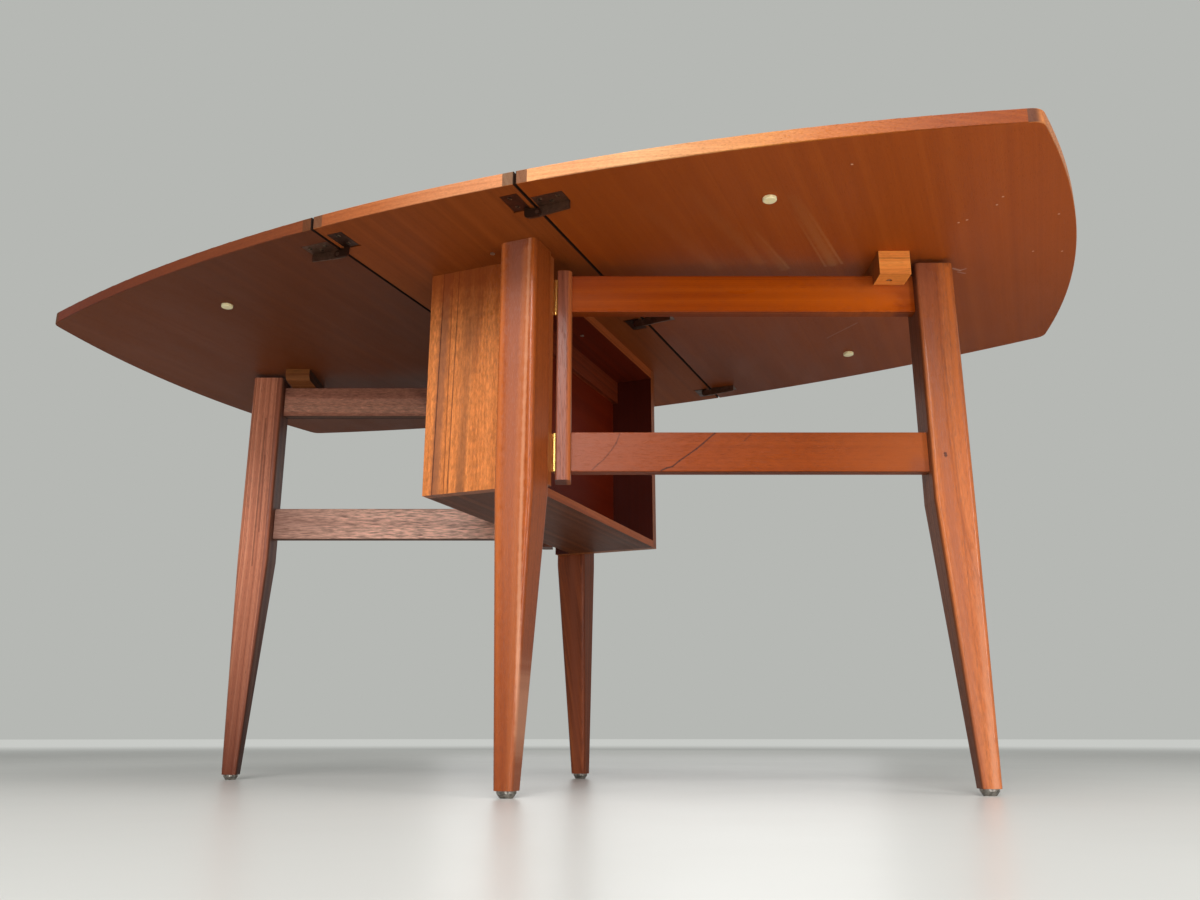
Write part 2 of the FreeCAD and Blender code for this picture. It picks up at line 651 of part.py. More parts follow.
swing_leaves = [cut(butt_leaf(z0, 1, swing_u0), swing_rooms) for z0 in BUTT_LEVELS]
keep_pair("butt_swing_leaves", [from_gate(shape) for shape in swing_leaves])
fixed_leaves = [cut(butt_leaf(z0, 0, fixed_u0), fixed_rooms) for z0 in BUTT_LEVELS]
keep_pair("butt_fixed_leaves", [fixed_place(shape) for shape in fixed_leaves])
butt_pins = [rod(BUTT_PIN_R, BUTT_H + 2 * PIN_TIP, GATE_PIN_X, GATE_PIN_Y, z0 - PIN_TIP) for z0 in BUTT_LEVELS]
keep("butt_pins", butt_pins + [half_turn(pin) for pin in butt_pins])
swing_screws = [from_gate(butt_screw(z, swing_u0, 1)) for z in swing_screw_z]
keep_pair("butt_swing_screws", swing_screws)
fixed_screws = [fixed_place(butt_screw(z, -BUTT_FACE_GAP, -1)) for z in swing_screw_z]
keep("butt_fixed_screws", fixed_screws + [half_turn(screw) for screw in fixed_screws])

# Box

front_panel = span(-BOX_HALF_X, END_PANEL_REACH, -BOX_HALF_Y, -PANEL_INNER_Y, BOX_BOTTOM_Z, UNDER_Z)
front_panel = rounded(front_panel, BOX_ARRIS, lambda edge: along(edge, UP))
front_panel = cut(front_panel, [fixed_place(room) for room in fixed_rooms])
keep("box_front_panel", [front_panel])
keep("box_back_panel", [half_turn(front_panel)])
inner = (-PANEL_INNER_Y, PANEL_INNER_Y)
box_roof = span(-BOX_HALF_X, BOX_HALF_X, *inner, UNDER_Z - BOX_TOP_T, UNDER_Z)
box_roof = cut(box_roof, [box_screw_hole, half_turn(box_screw_hole)])
keep("box_top_panel", [box_roof])
floor_z = BOX_BOTTOM_Z + BOX_FLOOR_T
keep("box_bottom_panel", [span(-BOX_HALF_X, BOX_HALF_X, *inner, BOX_BOTTOM_Z, floor_z)])
roof_z = UNDER_Z - BOX_TOP_T
keep("box_divider", [span(-DIVIDER_T / 2, DIVIDER_T / 2, *inner, floor_z, roof_z)])
batten = span(DIVIDER_T / 2, DIVIDER_T / 2 + BATTEN_T, *inner, roof_z - BATTEN_H, roof_z)
batten = rounded(batten, BOX_ARRIS, lambda edge: along(edge, ALONG_Y)
                 and edge.BoundBox.ZMax < roof_z and edge.BoundBox.XMin > DIVIDER_T)
keep_pair("divider_batten", [batten])


# Legs, drawn with their square top's low corner on the origin


def square_wire(x0, y0, width, radius, z):
    """A rounded square as a wire, all its corners alike."""
    x1 = x0 + width
    y1 = y0 + width
    diagonal = radius - radius / math.sqrt(2)
    corners = ((x0, y0, 1, 1), (x1, y0, -1, 1), (x1, y1, -1, -1), (x0, y1, 1, -1))
    edges = []
    last = None
    first = None
    for index, (x, y, in_x, in_y) in enumerate(corners):
        on_x = FreeCAD.Vector(x + in_x * radius, y, z)
        on_y = FreeCAD.Vector(x, y + in_y * radius, z)
        bend = FreeCAD.Vector(x + in_x * diagonal, y + in_y * diagonal, z)
        start, end = (on_y, on_x) if index % 2 == 0 else (on_x, on_y)
        if last is None:
            first = start
        else:
            edges.append(Part.LineSegment(last, start).toShape())
        edges.append(Part.Arc(start, bend, end).toShape())
        last = end
    edges.append(Part.LineSegment(last, first).toShape())
    return Part.Wire(edges)


def tapered_leg(top_z, foot_in_x, foot_in_y):
    """A square leg that tapers to its foot, set in from the low corner by the two insets."""
    wires = [
        square_wire(foot_in_x, foot_in_y, FOOT_W, FOOT_ARRIS_R, GLIDE_H),
        square_wire(0.0, 0.0, LEG_W, LEG_ARRIS_R, TAPER_TOP_Z),
        square_wire(0.0, 0.0, LEG_W, LEG_ARRIS_R, top_z),
    ]
    leg = Part.makeLoft(wires, True, True)
    nail = rod(GLIDE_NAIL_R + SCREW_CLEAR, GLIDE_NAIL_L, *foot_centre(foot_in_x, foot_in_y), GLIDE_H)
    return leg.cut(nail)


def foot_centre(foot_in_x, foot_in_y):
    """The middle of the foot."""
    return (foot_in_x + FOOT_W / 2, foot_in_y + FOOT_W / 2)


def glide(x, y):
    """A domed metal glide with its nail."""
    rim = rod(GLIDE_R, GLIDE_RIM_H, x, y, GLIDE_H - GLIDE_RIM_H)
    place = FreeCAD.Vector(x, y, 0.0)
    dome = Part.makeCone(GLIDE_SOLE_R, GLIDE_R, GLIDE_H - GLIDE_RIM_H, place)
    body = rim.fuse(dome).removeSplitter()
    nail = rod(GLIDE_NAIL_R, GLIDE_NAIL_L, x, y, GLIDE_H)
    return body.fuse(nail).removeSplitter()


fixed_foot = (FIXED_FOOT_IN_X, FIXED_FOOT_IN_Y)
front_leg = moved(tapered_leg(UNDER_Z, *fixed_foot), FRONT_LEG_X, FRONT_LEG_Y)
keep("front_leg", [front_leg])
keep("rear_leg", [half_turn(front_leg)])
front_glide = moved(glide(*foot_centre(*fixed_foot)), FRONT_LEG_X, FRONT_LEG_Y)
keep("front_leg_glide", [front_glide])
keep("rear_leg_glide", [half_turn(front_glide)])

# Gates


def rail(z0):
    """A gate rail with a tenon at each end."""
    body = span(STILE_FAR, GATE_LEG_NEAR, RAIL_SETBACK, RAIL_SETBACK + RAIL_T, z0, z0 + RAIL_H)
    body = rounded(body, RAIL_ARRIS_R, lambda edge: along(edge, ALONG_X))
    return body.fuse(tenons(z0)).removeSplitter()


def tenons(z0):
    """The tongues at the two ends of a rail."""
    v0 = RAIL_SETBACK + TENON_SHOULDER / 2
    low = z0 + TENON_SHOULDER
    high = z0 + RAIL_H - TENON_SHOULDER
    stile_u = STILE_FAR
    near = span(stile_u - STILE_TENON_L, stile_u, v0, v0 + TENON_T, low, high)
    far = span(GATE_LEG_NEAR, GATE_LEG_NEAR + LEG_TENON_L, v0, v0 + TENON_T, low, high)
    return [near, far]


def at_stile_front(edge):
    """Whether an edge is the stile's front one on the rails' side."""
    box = edge.BoundBox
    return along(edge, UP) and box.XMin > STILE_FAR - STILE_ARRIS_R / 2 and box.YMax < STILE_D / 2


rail_levels = (UPPER_RAIL_Z, LOWER_RAIL_Z)
mortises = [tenon for z0 in rail_levels for tenon in tenons(z0)]
stile = span(STILE_GAP, STILE_FAR, 0.0, STILE_D, STILE_LOW_Z, STILE_TOP_Z)
stile = rounded(stile, STILE_ARRIS_R, lambda edge: along(edge, UP) and not at_stile_front(edge))
stile = rounded(stile, STILE_ROUND_R, at_stile_front)
stile = cut(stile, mortises + barrel_rooms + swing_rooms)
keep_pair("gate_stile", [from_gate(stile)])
keep_pair("gate_upper_rail", [from_gate(rail(UPPER_RAIL_Z))])
keep_pair("gate_lower_rail", [from_gate(rail(LOWER_RAIL_Z))])
gate_foot = (GATE_FOOT_IN_X, GATE_FOOT_IN_Y)
gate_leg = moved(tapered_leg(GATE_LEG_TOP_Z, *gate_foot), GATE_LEG_NEAR, -GATE_LEG_PROUD)
keep_pair("gate_leg", [from_gate(cut(gate_leg, mortises))])
gate_glide = moved(glide(*foot_centre(*gate_foot)), GATE_LEG_NEAR, -GATE_LEG_PROUD)
keep_pair("gate_glide", [from_gate(gate_glide)])

# One file per node

os.makedirs("parts", exist_ok=True)
for name in sorted(NODES):
    shapes = [solid for shape in NODES[name] for solid in shape.Solids]
    whole = shapes[0] if len(shapes) == 1 else Part.makeCompound(shapes)
    whole.exportStep("parts/" + name + ".step")
    box = whole.BoundBox
    volume = sum(solid.Volume for solid in shapes)
    valid = all(solid.isValid() for solid in shapes)
    print(f"{name:32s} {len(shapes):3d} {valid} {volume:12.0f}"
          f" {box.XMin:8.1f} {box.XMax:8.1f} {box.YMin:8.1f} {box.YMax:8.1f} {box.ZMin:7.1f} {box.ZMax:7.1f}")
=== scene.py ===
"""Dresses the drop-leaf dining table: its woods, metals and plastic, the studio and the camera."""

from __future__ import annotations

import logging
import math
import random
from dataclasses import dataclass, field, replace
from enum import Enum
from typing import Iterable, Sequence

import bmesh
import bpy
from mathutils import Euler, Matrix, Vector


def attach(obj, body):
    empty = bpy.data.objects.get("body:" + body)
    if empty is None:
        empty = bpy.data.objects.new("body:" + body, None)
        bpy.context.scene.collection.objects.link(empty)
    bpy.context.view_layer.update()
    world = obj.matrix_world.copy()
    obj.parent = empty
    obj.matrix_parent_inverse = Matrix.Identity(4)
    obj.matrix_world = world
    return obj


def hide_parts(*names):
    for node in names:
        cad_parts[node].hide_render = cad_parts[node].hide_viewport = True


LOG = logging.getLogger("dining_table")
GATE_TURN_DEG = 22.6
NOTHING = (0.0, 0.0, 0.0)
FLAT = (1.0, 1.0, 0.0)

Colour = tuple[float, float, float]
Place = tuple[float, float]
Socket = bpy.types.NodeSocket
Feed = Socket | float | Sequence[float]

# How squarely a face has to look along an axis: where it starts to count, and where it counts in full.
LEVEL: Place = (0.80, 0.97)
SQUARE: Place = (0.60, 0.92)
EDGE_ON: Place = (0.60, 0.90)


def seen(red: float, green: float, blue: float) -> Colour:
    """Turns a colour as it looks on a screen, 0 to 255, into light values.

    Args:
        red: Red as seen.
        green: Green as seen.
        blue: Blue as seen.

    Returns:
        The linear red, green and blue.
    """
    linear = []
    for channel in (red / 255, green / 255, blue / 255):
        linear.append(channel / 12.92 if channel <= 0.04045 else ((channel + 0.055) / 1.055) ** 2.4)
    return linear[0], linear[1], linear[2]


class Graph:
    """The node tree of one material or world while it is drawn up."""

    def __init__(self, name: str, kind: str = "materials") -> None:
        """Starts an empty material or world.

        Args:
            name: Its name.
            kind: What it is, materials or worlds.
        """
        self.owner = getattr(bpy.data, kind).new(name)
        self.owner.use_nodes = True
        self.tree = self.owner.node_tree
        self.tree.nodes.clear()
        self.coordinates = self.node("TexCoord")

    @property
    def position(self) -> Socket:
        """Where a point lies on the object."""
        return self.coordinates.outputs["Object"]

    @property
    def facing(self) -> Socket:
        """Which way a face looks, on the object's own axes."""
        return self.coordinates.outputs["Normal"]

    def feed(self, socket: Socket, value: Feed) -> None:
        """Links a socket to another, or sets its value.

        Args:
            socket: The input to fill.
            value: An output socket, a number or a list of numbers.
        """
        if isinstance(value, bpy.types.NodeSocket):
            self.tree.links.new(value, socket)
        elif socket.type == "RGBA" and not isinstance(value, (int, float)):
            socket.default_value = (*value, 1.0)
        else:
            socket.default_value = value

    def node(self, kind: str, *values: Feed, **settings: str | bool) -> bpy.types.Node:
        """Adds a node.

        Args:
            kind: Its type, less the word that all types start with.
            *values: What goes into its inputs, in their order.
            **settings: The node's own settings.

        Returns:
            The node.
        """
        node = self.tree.nodes.new("ShaderNode" + kind)
        for name, setting in settings.items():
            setattr(node, name, setting)
        for socket, value in zip(node.inputs, values):
            self.feed(socket, value)
        return node

    def math(self, operation: str, *values: Feed, clamp: bool = False) -> Socket:
        """Works out a number.

        Args:
            operation: The Math node's operation.
            *values: One to three numbers or sockets.
            clamp: Whether the result is held between 0 and 1.

        Returns:
            The result's socket.
        """
        return self.node("Math", *values, operation=operation, use_clamp=clamp).outputs[0]

    def vector(self, operation: str, *values: Feed) -> Socket:
        """Works out a vector.

        Args:
            operation: The Vector Math node's operation.
            *values: One to three vectors or sockets.

        Returns:
            The result's socket.
        """
        return self.node("VectorMath", *values, operation=operation).outputs[0]

    def scaled(self, vector: Feed, share: Feed) -> Socket:
        """Multiplies a vector or a colour by one number.

        Args:
            vector: The vector or colour.
            share: The number.

        Returns:
            The result's socket.
        """
        node = self.node("VectorMath", vector, operation="SCALE")
        self.feed(node.inputs["Scale"], share)
        return node.outputs[0]

    def gap(self, one: Feed, other: Feed, operation: str = "DISTANCE") -> Socket:
        """Measures the distance between two points, or another number that two vectors make.

        Args:
            one: The first point.
            other: The second point.
            operation: The Vector Math node's operation.

        Returns:
            The number's socket.
        """
        return self.node("VectorMath", one, other, operation=operation).outputs["Value"]

    def turned(self, vector: Feed, degrees: float) -> Socket:
        """Turns a vector about the upright axis.

        Args:
            vector: The vector.
            degrees: How far, anticlockwise from above.

        Returns:
            The turned vector's socket.
        """
        return self.node("Mapping", vector, NOTHING, (0.0, 0.0, math.radians(degrees))).outputs[0]

    def parts(self, vector: Feed) -> tuple[Socket, Socket, Socket]:
        """Splits a vector.

        Args:
            vector: The vector.

        Returns:
            The sockets of its X, Y and Z.
        """
        x, y, z = self.node("SeparateXYZ", vector).outputs
        return x, y, z

    def joined(self, x: Feed, y: Feed, z: Feed = 0.0) -> Socket:
        """Makes a vector of three numbers.

        Args:
            x: Its X.
            y: Its Y.
            z: Its Z.

        Returns:
            The vector's socket.
        """
        return self.node("CombineXYZ", x, y, z).outputs[0]

    def noise(self, place: Feed, detail: float = 2.0, roughness: float = 0.5) -> bpy.types.Node:
        """Soft noise through space, one blob to a unit and about 0.5 on average.

        Args:
            place: Where to read it.
            detail: How many finer layers it has.
            roughness: How strong they are.

        Returns:
            The node, with one noise in its first output and three at once in its second.
        """
        return self.node("TexNoise", place, 0.0, 1.0, detail, roughness)

    def cloud(self, place: Feed, detail: float = 2.0, roughness: float = 0.5, scale: Feed = 1.0) -> Socket:
        """Reads one noise off a place.

        Args:
            place: Where to read it.
            detail: How many finer layers it has.
            roughness: How strong they are.
            scale: How many blobs there are to a unit, as a number or for each axis.

        Returns:
            The noise's socket.
        """
        if isinstance(scale, tuple):
            place = self.vector("MULTIPLY", place, scale)
        elif scale != 1.0:
            place = self.scaled(place, scale)
        return self.noise(place, detail, roughness).outputs[0]

    def bands(self, along: Feed, detail: float = 2.0, roughness: float = 0.5) -> Socket:
        """Uneven bands, one to a unit.

        Args:
            along: The number that the bands follow.
            detail: How many finer layers they have.
            roughness: How strong those are.

        Returns:
            The bands' socket, about 0.5 on average.
        """
        return self.node("TexNoise", NOTHING, along, 1.0, detail, roughness, noise_dimensions="1D").outputs[0]

    def step(self, value: Feed, start: float, end: float, low: Feed = 0.0, high: Feed = 1.0) -> Socket:
        """Goes smoothly from one number to another.

        Args:
            value: What drives it.
            start: Where it leaves the first number.
            end: Where it reaches the second.
            low: The first number.
            high: The second number.

        Returns:
            The number's socket.
        """
        return self.node("MapRange", value, start, end, low, high, interpolation_type="SMOOTHSTEP").outputs[0]

    def looks(self, axis: int, limits: Place) -> Socket:
        """Finds the faces that look along an axis, either way.

        Args:
            axis: The axis, 0 to 2.
            limits: How squarely they look.

        Returns:
            The socket of a number that is 1 on them and 0 elsewhere.
        """
        return self.step(self.math("ABSOLUTE", self.parts(self.facing)[axis]), *limits)

    def swing(self, noise: Socket, reach: float) -> Socket:
        """Centres a noise on zero.

        Args:
            noise: A noise of about 0.5 on average.
            reach: How far it goes each way.

        Returns:
            The centred noise's socket.
        """
        return self.math("MULTIPLY", self.math("SUBTRACT", noise, 0.5), reach * 2)

    def ramp(self, value: Feed, stops: Sequence[tuple[float, Colour]]) -> Socket:
        """Reads a colour off a scale.

        Args:
            value: Where on the scale, 0 to 1.
            stops: The places and colours of the scale.

        Returns:
            The colour's socket.
        """
        node = self.node("ValToRGB", value)
        elements = node.color_ramp.elements
        while len(elements) < len(stops):
            elements.new(0.5)
        for element, (place, colour) in zip(elements, stops):
            element.position = place
            element.color = (*colour, 1.0)
        return node.outputs[0]

    def mixed(self, share: Feed, first: Feed, second: Feed, mode: str = "MIX") -> Socket:
        """Mixes two colours.

        Args:
            share: How much of the second.
            first: The first colour.
            second: The second colour.
            mode: How the two are mixed.

        Returns:
            The mixture's socket.
        """
        node = self.node("Mix", share, data_type="RGBA", blend_type=mode)
        for socket, colour in zip((one for one in node.inputs if one.type == "RGBA"), (first, second)):
            self.feed(socket, colour)
        return next(one for one in node.outputs if one.type == "RGBA")

    def between(self, share: Feed, first: Feed, second: Feed) -> Socket:
        """Mixes two numbers.

        Args:
            share: How much of the second.
            first: The first number.
            second: The second number.

        Returns:
            The mixture's socket.
        """
        node = self.node("Mix")
        for socket, value in zip((one for one in node.inputs if one.type == "VALUE"), (share, first, second)):
            self.feed(socket, value)
        return node.outputs[0]

    def shaded(self, layer: Layer, relief: float, **gloss: float) -> Socket:
        """Turns a layer into a lit surface.

        Args:
            layer: Its colour, roughness and height.
            relief: How many metres the height stands for.
            **gloss: Values of the shader that are the same all over.

        Returns:
            The surface's socket.
        """
        bump = self.node("Bump", 1.0, relief)
        self.feed(bump.inputs["Height"], layer.height)
        shader = self.node("BsdfPrincipled")
        self.feed(shader.inputs["Base Color"], layer.colour)
        self.feed(shader.inputs["Roughness"], layer.roughness)
        self.feed(shader.inputs["Normal"], bump.outputs[0])
        for name, value in gloss.items():
            shader.inputs[name.replace("_", " ")].default_value = value
        return shader.outputs[0]

    def finish(self, layer: Layer, relief: float, **gloss: float) -> bpy.types.Material:
        """Puts a layer on the material.

        Args:
            layer: Its colour, roughness and height.
            relief: How many metres the height stands for.
            **gloss: Values of the shader that are the same all over.

        Returns:
            The material.
        """
        self.node("OutputMaterial", self.shaded(layer, relief, **gloss))
        return self.owner

    def plainly_seen(self) -> Socket:
        """Tells the rays that show a thing from those that light one.

        Returns:
            The socket of a number that is 1 for a ray from the camera, a mirror or a pane.
        """
        path = self.node("LightPath").outputs
        either = self.math("MAXIMUM", path["Is Camera Ray"], path["Is Glossy Ray"])
        return self.math("MAXIMUM", either, path["Is Transmission Ray"])


@dataclass
class Layer:
    """What a surface is made of at each point."""

    colour: Feed
    roughness: Feed
    height: Feed

    def draw(self, graph: Graph, face: Socket, marks: Iterable[Streak | Specks]) -> None:
        """Draws marks over the layer, the first one lowest.

        Args:
            graph: The material's graph.
            face: A point on the marks' face, with its third number zero.
            marks: The marks.
        """
        for mark in marks:
            self.colour = mark.draw(graph, face, self.colour)

    def dim(self, graph: Graph, mask: Socket, share: float, matt: float) -> None:
        """Makes the layer darker and duller where a mask is one.

        Args:
            graph: The material's graph.
            mask: The mask.
            share: How much of the colour goes.
            matt: How much roughness comes.
        """
        self.colour = graph.scaled(self.colour, graph.math("MULTIPLY_ADD", mask, -share, 1.0))
        self.roughness = graph.math("MULTIPLY_ADD", mask, matt, self.roughness, clamp=True)


class Grain(Enum):
    """The way the grain runs, as the order of the axes across, through and along it."""

    ALONG_X = (1, 2, 0)
    ALONG_Y = (0, 2, 1)
    UPRIGHT = (0, 1, 2)


@dataclass(frozen=True)
class Wood:
    """One cut of wood: its tones, how its grain lies and how its lacquer shines.

    Lengths are in metres. The heart is where the tree's centre lies across and through the grain, so a far one
    gives straight lines and a near one gives arches. The scales are noise blobs to a metre, across, through and
    along the grain.
    """

    WANDER_SCALE = (7.0, 7.0, 1.1)
    PORE_SCALE = (1500.0, 1500.0, 95.0)
    BROAD_SCALE = (9.0, 9.0, 2.2)
    SMEAR_SCALE = (22.0, 22.0, 6.0)
    TONE_STOPS = (0.12, 0.50, 0.88)
    PORE_EDGE = (0.57, 0.72)
    # Spans over which painted light grows towards the table's ends and painted shade towards its back.
    PAINTED_LIGHT_RUN = (0.15, 0.85)
    PAINTED_SHADE_RUN = (-0.15, 0.42)
    DOWNWARD = (-0.8, -0.5)
    RING_SWING, LINE_SWING, LINE_SHARE = 0.95, 0.35, 0.17
    SMEAR_MATT, PORE_MATT, END_MATT = 0.10, 0.16, 0.14
    FLECK_RELIEF, RELIEF, COAT_MATT = 0.30, 0.00010, 0.20

    name: str
    deep: Colour
    body: Colour
    pale: Colour
    grain: Grain = Grain.UPRIGHT
    turn_deg: float = 0.0
    heart: Place = (0.9, 0.5)
    ring: float = 0.007
    wander: float = 0.010
    contrast: float = 1.0
    pores: float = 0.30
    figure: float = 0.06
    figure_long: float = 0.030
    figure_wide: float = 0.003
    drift: float = 0.16
    matt: float = 0.36
    raw_below: float = 0.0
    # Painted shade: how much darker the faces that look down are.
    painted_shade_below: float = 0.0
    # Painted light: how much lighter the wood grows towards the table's ends.
    painted_light_outward: float = 0.0
    # Painted shade: how much darker the wood grows towards the table's back.
    painted_shade_backward: float = 0.0
    specular: float = 0.40
    coat: float = 0.10
    end: Colour = (0.55, 0.50, 0.50)
    shift: float = 0.0

    def lay(self, graph: Graph) -> Layer:
        """Draws the wood on a graph.

        Args:
            graph: The material's graph.

        Returns:
            The wood's layer.
        """
        axes = graph.parts(graph.turned(graph.position, -self.turn_deg))
        across, through, along = (axes[axis] for axis in self.grain.value)
        cut = graph.joined(across, through, graph.math("ADD", along, self.shift))
        wander = graph.noise(graph.vector("MULTIPLY", cut, self.WANDER_SCALE), 1.5).outputs[1]
        push = graph.vector("SUBTRACT", wander, (0.5, 0.5, 0.5))
        bent = graph.vector("MULTIPLY_ADD", push, (self.wander * 2, self.wander * 2, 0.0), cut)
        girth = graph.gap(graph.vector("MULTIPLY", bent, FLAT), (*self.heart, 0.0))
        rings = graph.bands(graph.math("DIVIDE", girth, self.ring), 3.0, 0.62)
        lines = graph.bands(graph.math("DIVIDE", girth, self.ring * self.LINE_SHARE), 2.0, 0.55)
        rings, lines = (graph.swing(bands, reach * self.contrast)
                        for bands, reach in ((rings, self.RING_SWING), (lines, self.LINE_SWING)))
        tone = graph.math("ADD", rings, lines)
        tones = tuple(zip(self.TONE_STOPS, (self.deep, self.body, self.pale)))
        colour = graph.ramp(graph.math("ADD", tone, 0.5), tones)
        pore = graph.step(graph.cloud(cut, 1.0, scale=self.PORE_SCALE), *self.PORE_EDGE)
        fleck = graph.cloud(cut, 2.0, 0.6, (1 / self.figure_wide, 1 / self.figure_wide, 1 / self.figure_long))
        broad = graph.cloud(cut, scale=self.BROAD_SCALE)
        shade = graph.math("ADD", graph.swing(fleck, self.figure), graph.swing(broad, self.drift))
        shade = graph.math("SUBTRACT", graph.math("ADD", shade, 1.0), graph.math("MULTIPLY", pore, self.pores))
        # Painted light: lighter towards the ends of the table.
        if self.painted_light_outward:
            reach = graph.math("ABSOLUTE", graph.parts(graph.position)[0])
            shade = graph.math("ADD", shade, graph.step(reach, *self.PAINTED_LIGHT_RUN, 0.0, self.painted_light_outward))
        # Painted shade: darker towards the back of the table.
        if self.painted_shade_backward:
            back = graph.step(graph.parts(graph.position)[1], *self.PAINTED_SHADE_RUN, 0.0, self.painted_shade_backward)
            shade = graph.math("SUBTRACT", shade, back)
        colour = graph.scaled(colour, shade)
        looks = graph.parts(graph.turned(graph.facing, -self.turn_deg))[self.grain.value[2]]
        cut_end = graph.step(graph.math("ABSOLUTE", looks), *SQUARE)
        colour = graph.mixed(cut_end, colour, graph.mixed(1.0, colour, self.end, "MULTIPLY"))
        smear = graph.swing(graph.cloud(cut, 3.0, 0.6, self.SMEAR_SCALE), self.SMEAR_MATT)
        roughness = graph.math("ADD", smear, graph.math("MULTIPLY", pore, self.PORE_MATT))
        roughness = graph.math("ADD", roughness, graph.math("MULTIPLY_ADD", cut_end, self.END_MATT, self.matt))
        below = graph.step(graph.parts(graph.facing)[2], *self.DOWNWARD, 1.0, 0.0)
        roughness = graph.math("MULTIPLY_ADD", below, self.raw_below, roughness, clamp=True)
        # Painted shade on the faces that look down.
        if self.painted_shade_below:
            colour = graph.scaled(colour, graph.math("MULTIPLY_ADD", below, -self.painted_shade_below, 1.0))
        height = graph.math("SUBTRACT", graph.math("MULTIPLY", fleck, self.FLECK_RELIEF), pore)
        return Layer(colour, roughness, height)

    def material(self) -> bpy.types.Material:
        """Makes the wood's own material."""
        graph = Graph(self.name)
        return self.lacquered(graph, self.lay(graph))

    def lacquered(self, graph: Graph, layer: Layer) -> bpy.types.Material:
        """Finishes the wood under thin satin lacquer.

        Args:
            graph: The material's graph.
            layer: The wood, with anything drawn over it.

        Returns:
            The material.
        """
        return graph.finish(layer, self.RELIEF, Specular_IOR_Level=self.specular, Coat_Weight=self.coat,
                            Coat_Roughness=self.COAT_MATT)


@dataclass(frozen=True)
class Streak:
    """A soft line on a flat face, with its ends, half width and colour, and its share of strength at either end."""

    RAGGED_SCALE = (90.0, 90.0, 0.0)
    CORE_SHARE = 0.2

    start: Place
    end: Place
    half_width: float
    colour: Colour
    strength: float = 1.0
    fade: Place = (1.0, 1.0)

    def draw(self, graph: Graph, face: Socket, colour: Socket) -> Socket:
        """Draws the line over a colour.

        Args:
            graph: The material's graph.
            face: A point on the face, with its third number zero.
            colour: The colour under the line.

        Returns:
            The colour with the line on it.
        """
        run = Vector(self.end) - Vector(self.start)
        start = (*self.start, 0.0)
        reach = graph.vector("SUBTRACT", face, start)
        along = graph.gap(reach, (*(run / run.length_squared), 0.0), "DOT_PRODUCT")
        along = graph.math("ADD", along, 0.0, clamp=True)
        gap = graph.gap(face, graph.vector("ADD", graph.scaled((*run, 0.0), along), start))
        edge = graph.math("MULTIPLY", gap, graph.math("ADD", graph.cloud(face, scale=self.RAGGED_SCALE), 0.5))
        first, last = (share * self.strength for share in self.fade)
        strength = graph.math("MULTIPLY_ADD", along, last - first, first) if first != last else first
        share = graph.step(edge, self.half_width * self.CORE_SHARE, self.half_width, strength, 0.0)
        return graph.mixed(share, colour, self.colour)


@dataclass(frozen=True)
class Specks:
    """Small worn spots on a flat face."""

    RAGGED_SCALE = (400.0, 400.0, 0.0)
    CORE_SHARE = 0.4

    places: tuple[Place, ...]
    radius: float
    colour: Colour
    strength: float = 0.8

    def draw(self, graph: Graph, face: Socket, colour: Socket) -> Socket:
        """Draws the spots over a colour.

        Args:
            graph: The material's graph.
            face: A point on the face, with its third number zero.
            colour: The colour under the spots.

        Returns:
            The colour with the spots on it.
        """
        nearest: Feed = 1.0
        for place in self.places:
            nearest = graph.math("MINIMUM", nearest, graph.gap(face, (*place, 0.0)))
        edge = graph.math("MULTIPLY", nearest, graph.math("ADD", graph.cloud(face, scale=self.RAGGED_SCALE), 0.5))
        share = graph.step(edge, self.radius * self.CORE_SHARE, self.radius, self.strength, 0.0)
        return graph.mixed(share, colour, self.colour)


def joined_woods(graph: Graph, share: Socket, first: Layer, second: Layer) -> Layer:
    """Mixes two layers of wood.

    Args:
        graph: The material's graph.
        share: How much of the second shows.
        first: The first layer.
        second: The second layer.

    Returns:
        The mixture.
    """
    return Layer(
        graph.mixed(share, first.colour, second.colour),
        graph.between(share, first.roughness, second.roughness),
        graph.between(share, first.height, second.height),
    )


def faced(graph: Graph, upper: Wood, under: Layer) -> Layer:
    """Lays the veneer of the table's upper side over another layer.

    Args:
        graph: The material's graph.
        upper: The veneer.
        under: What shows on every face that doesn't look up.

    Returns:
        The two together.
    """
    return joined_woods(graph, graph.step(graph.parts(graph.facing)[2], *LEVEL), under, upper.lay(graph))


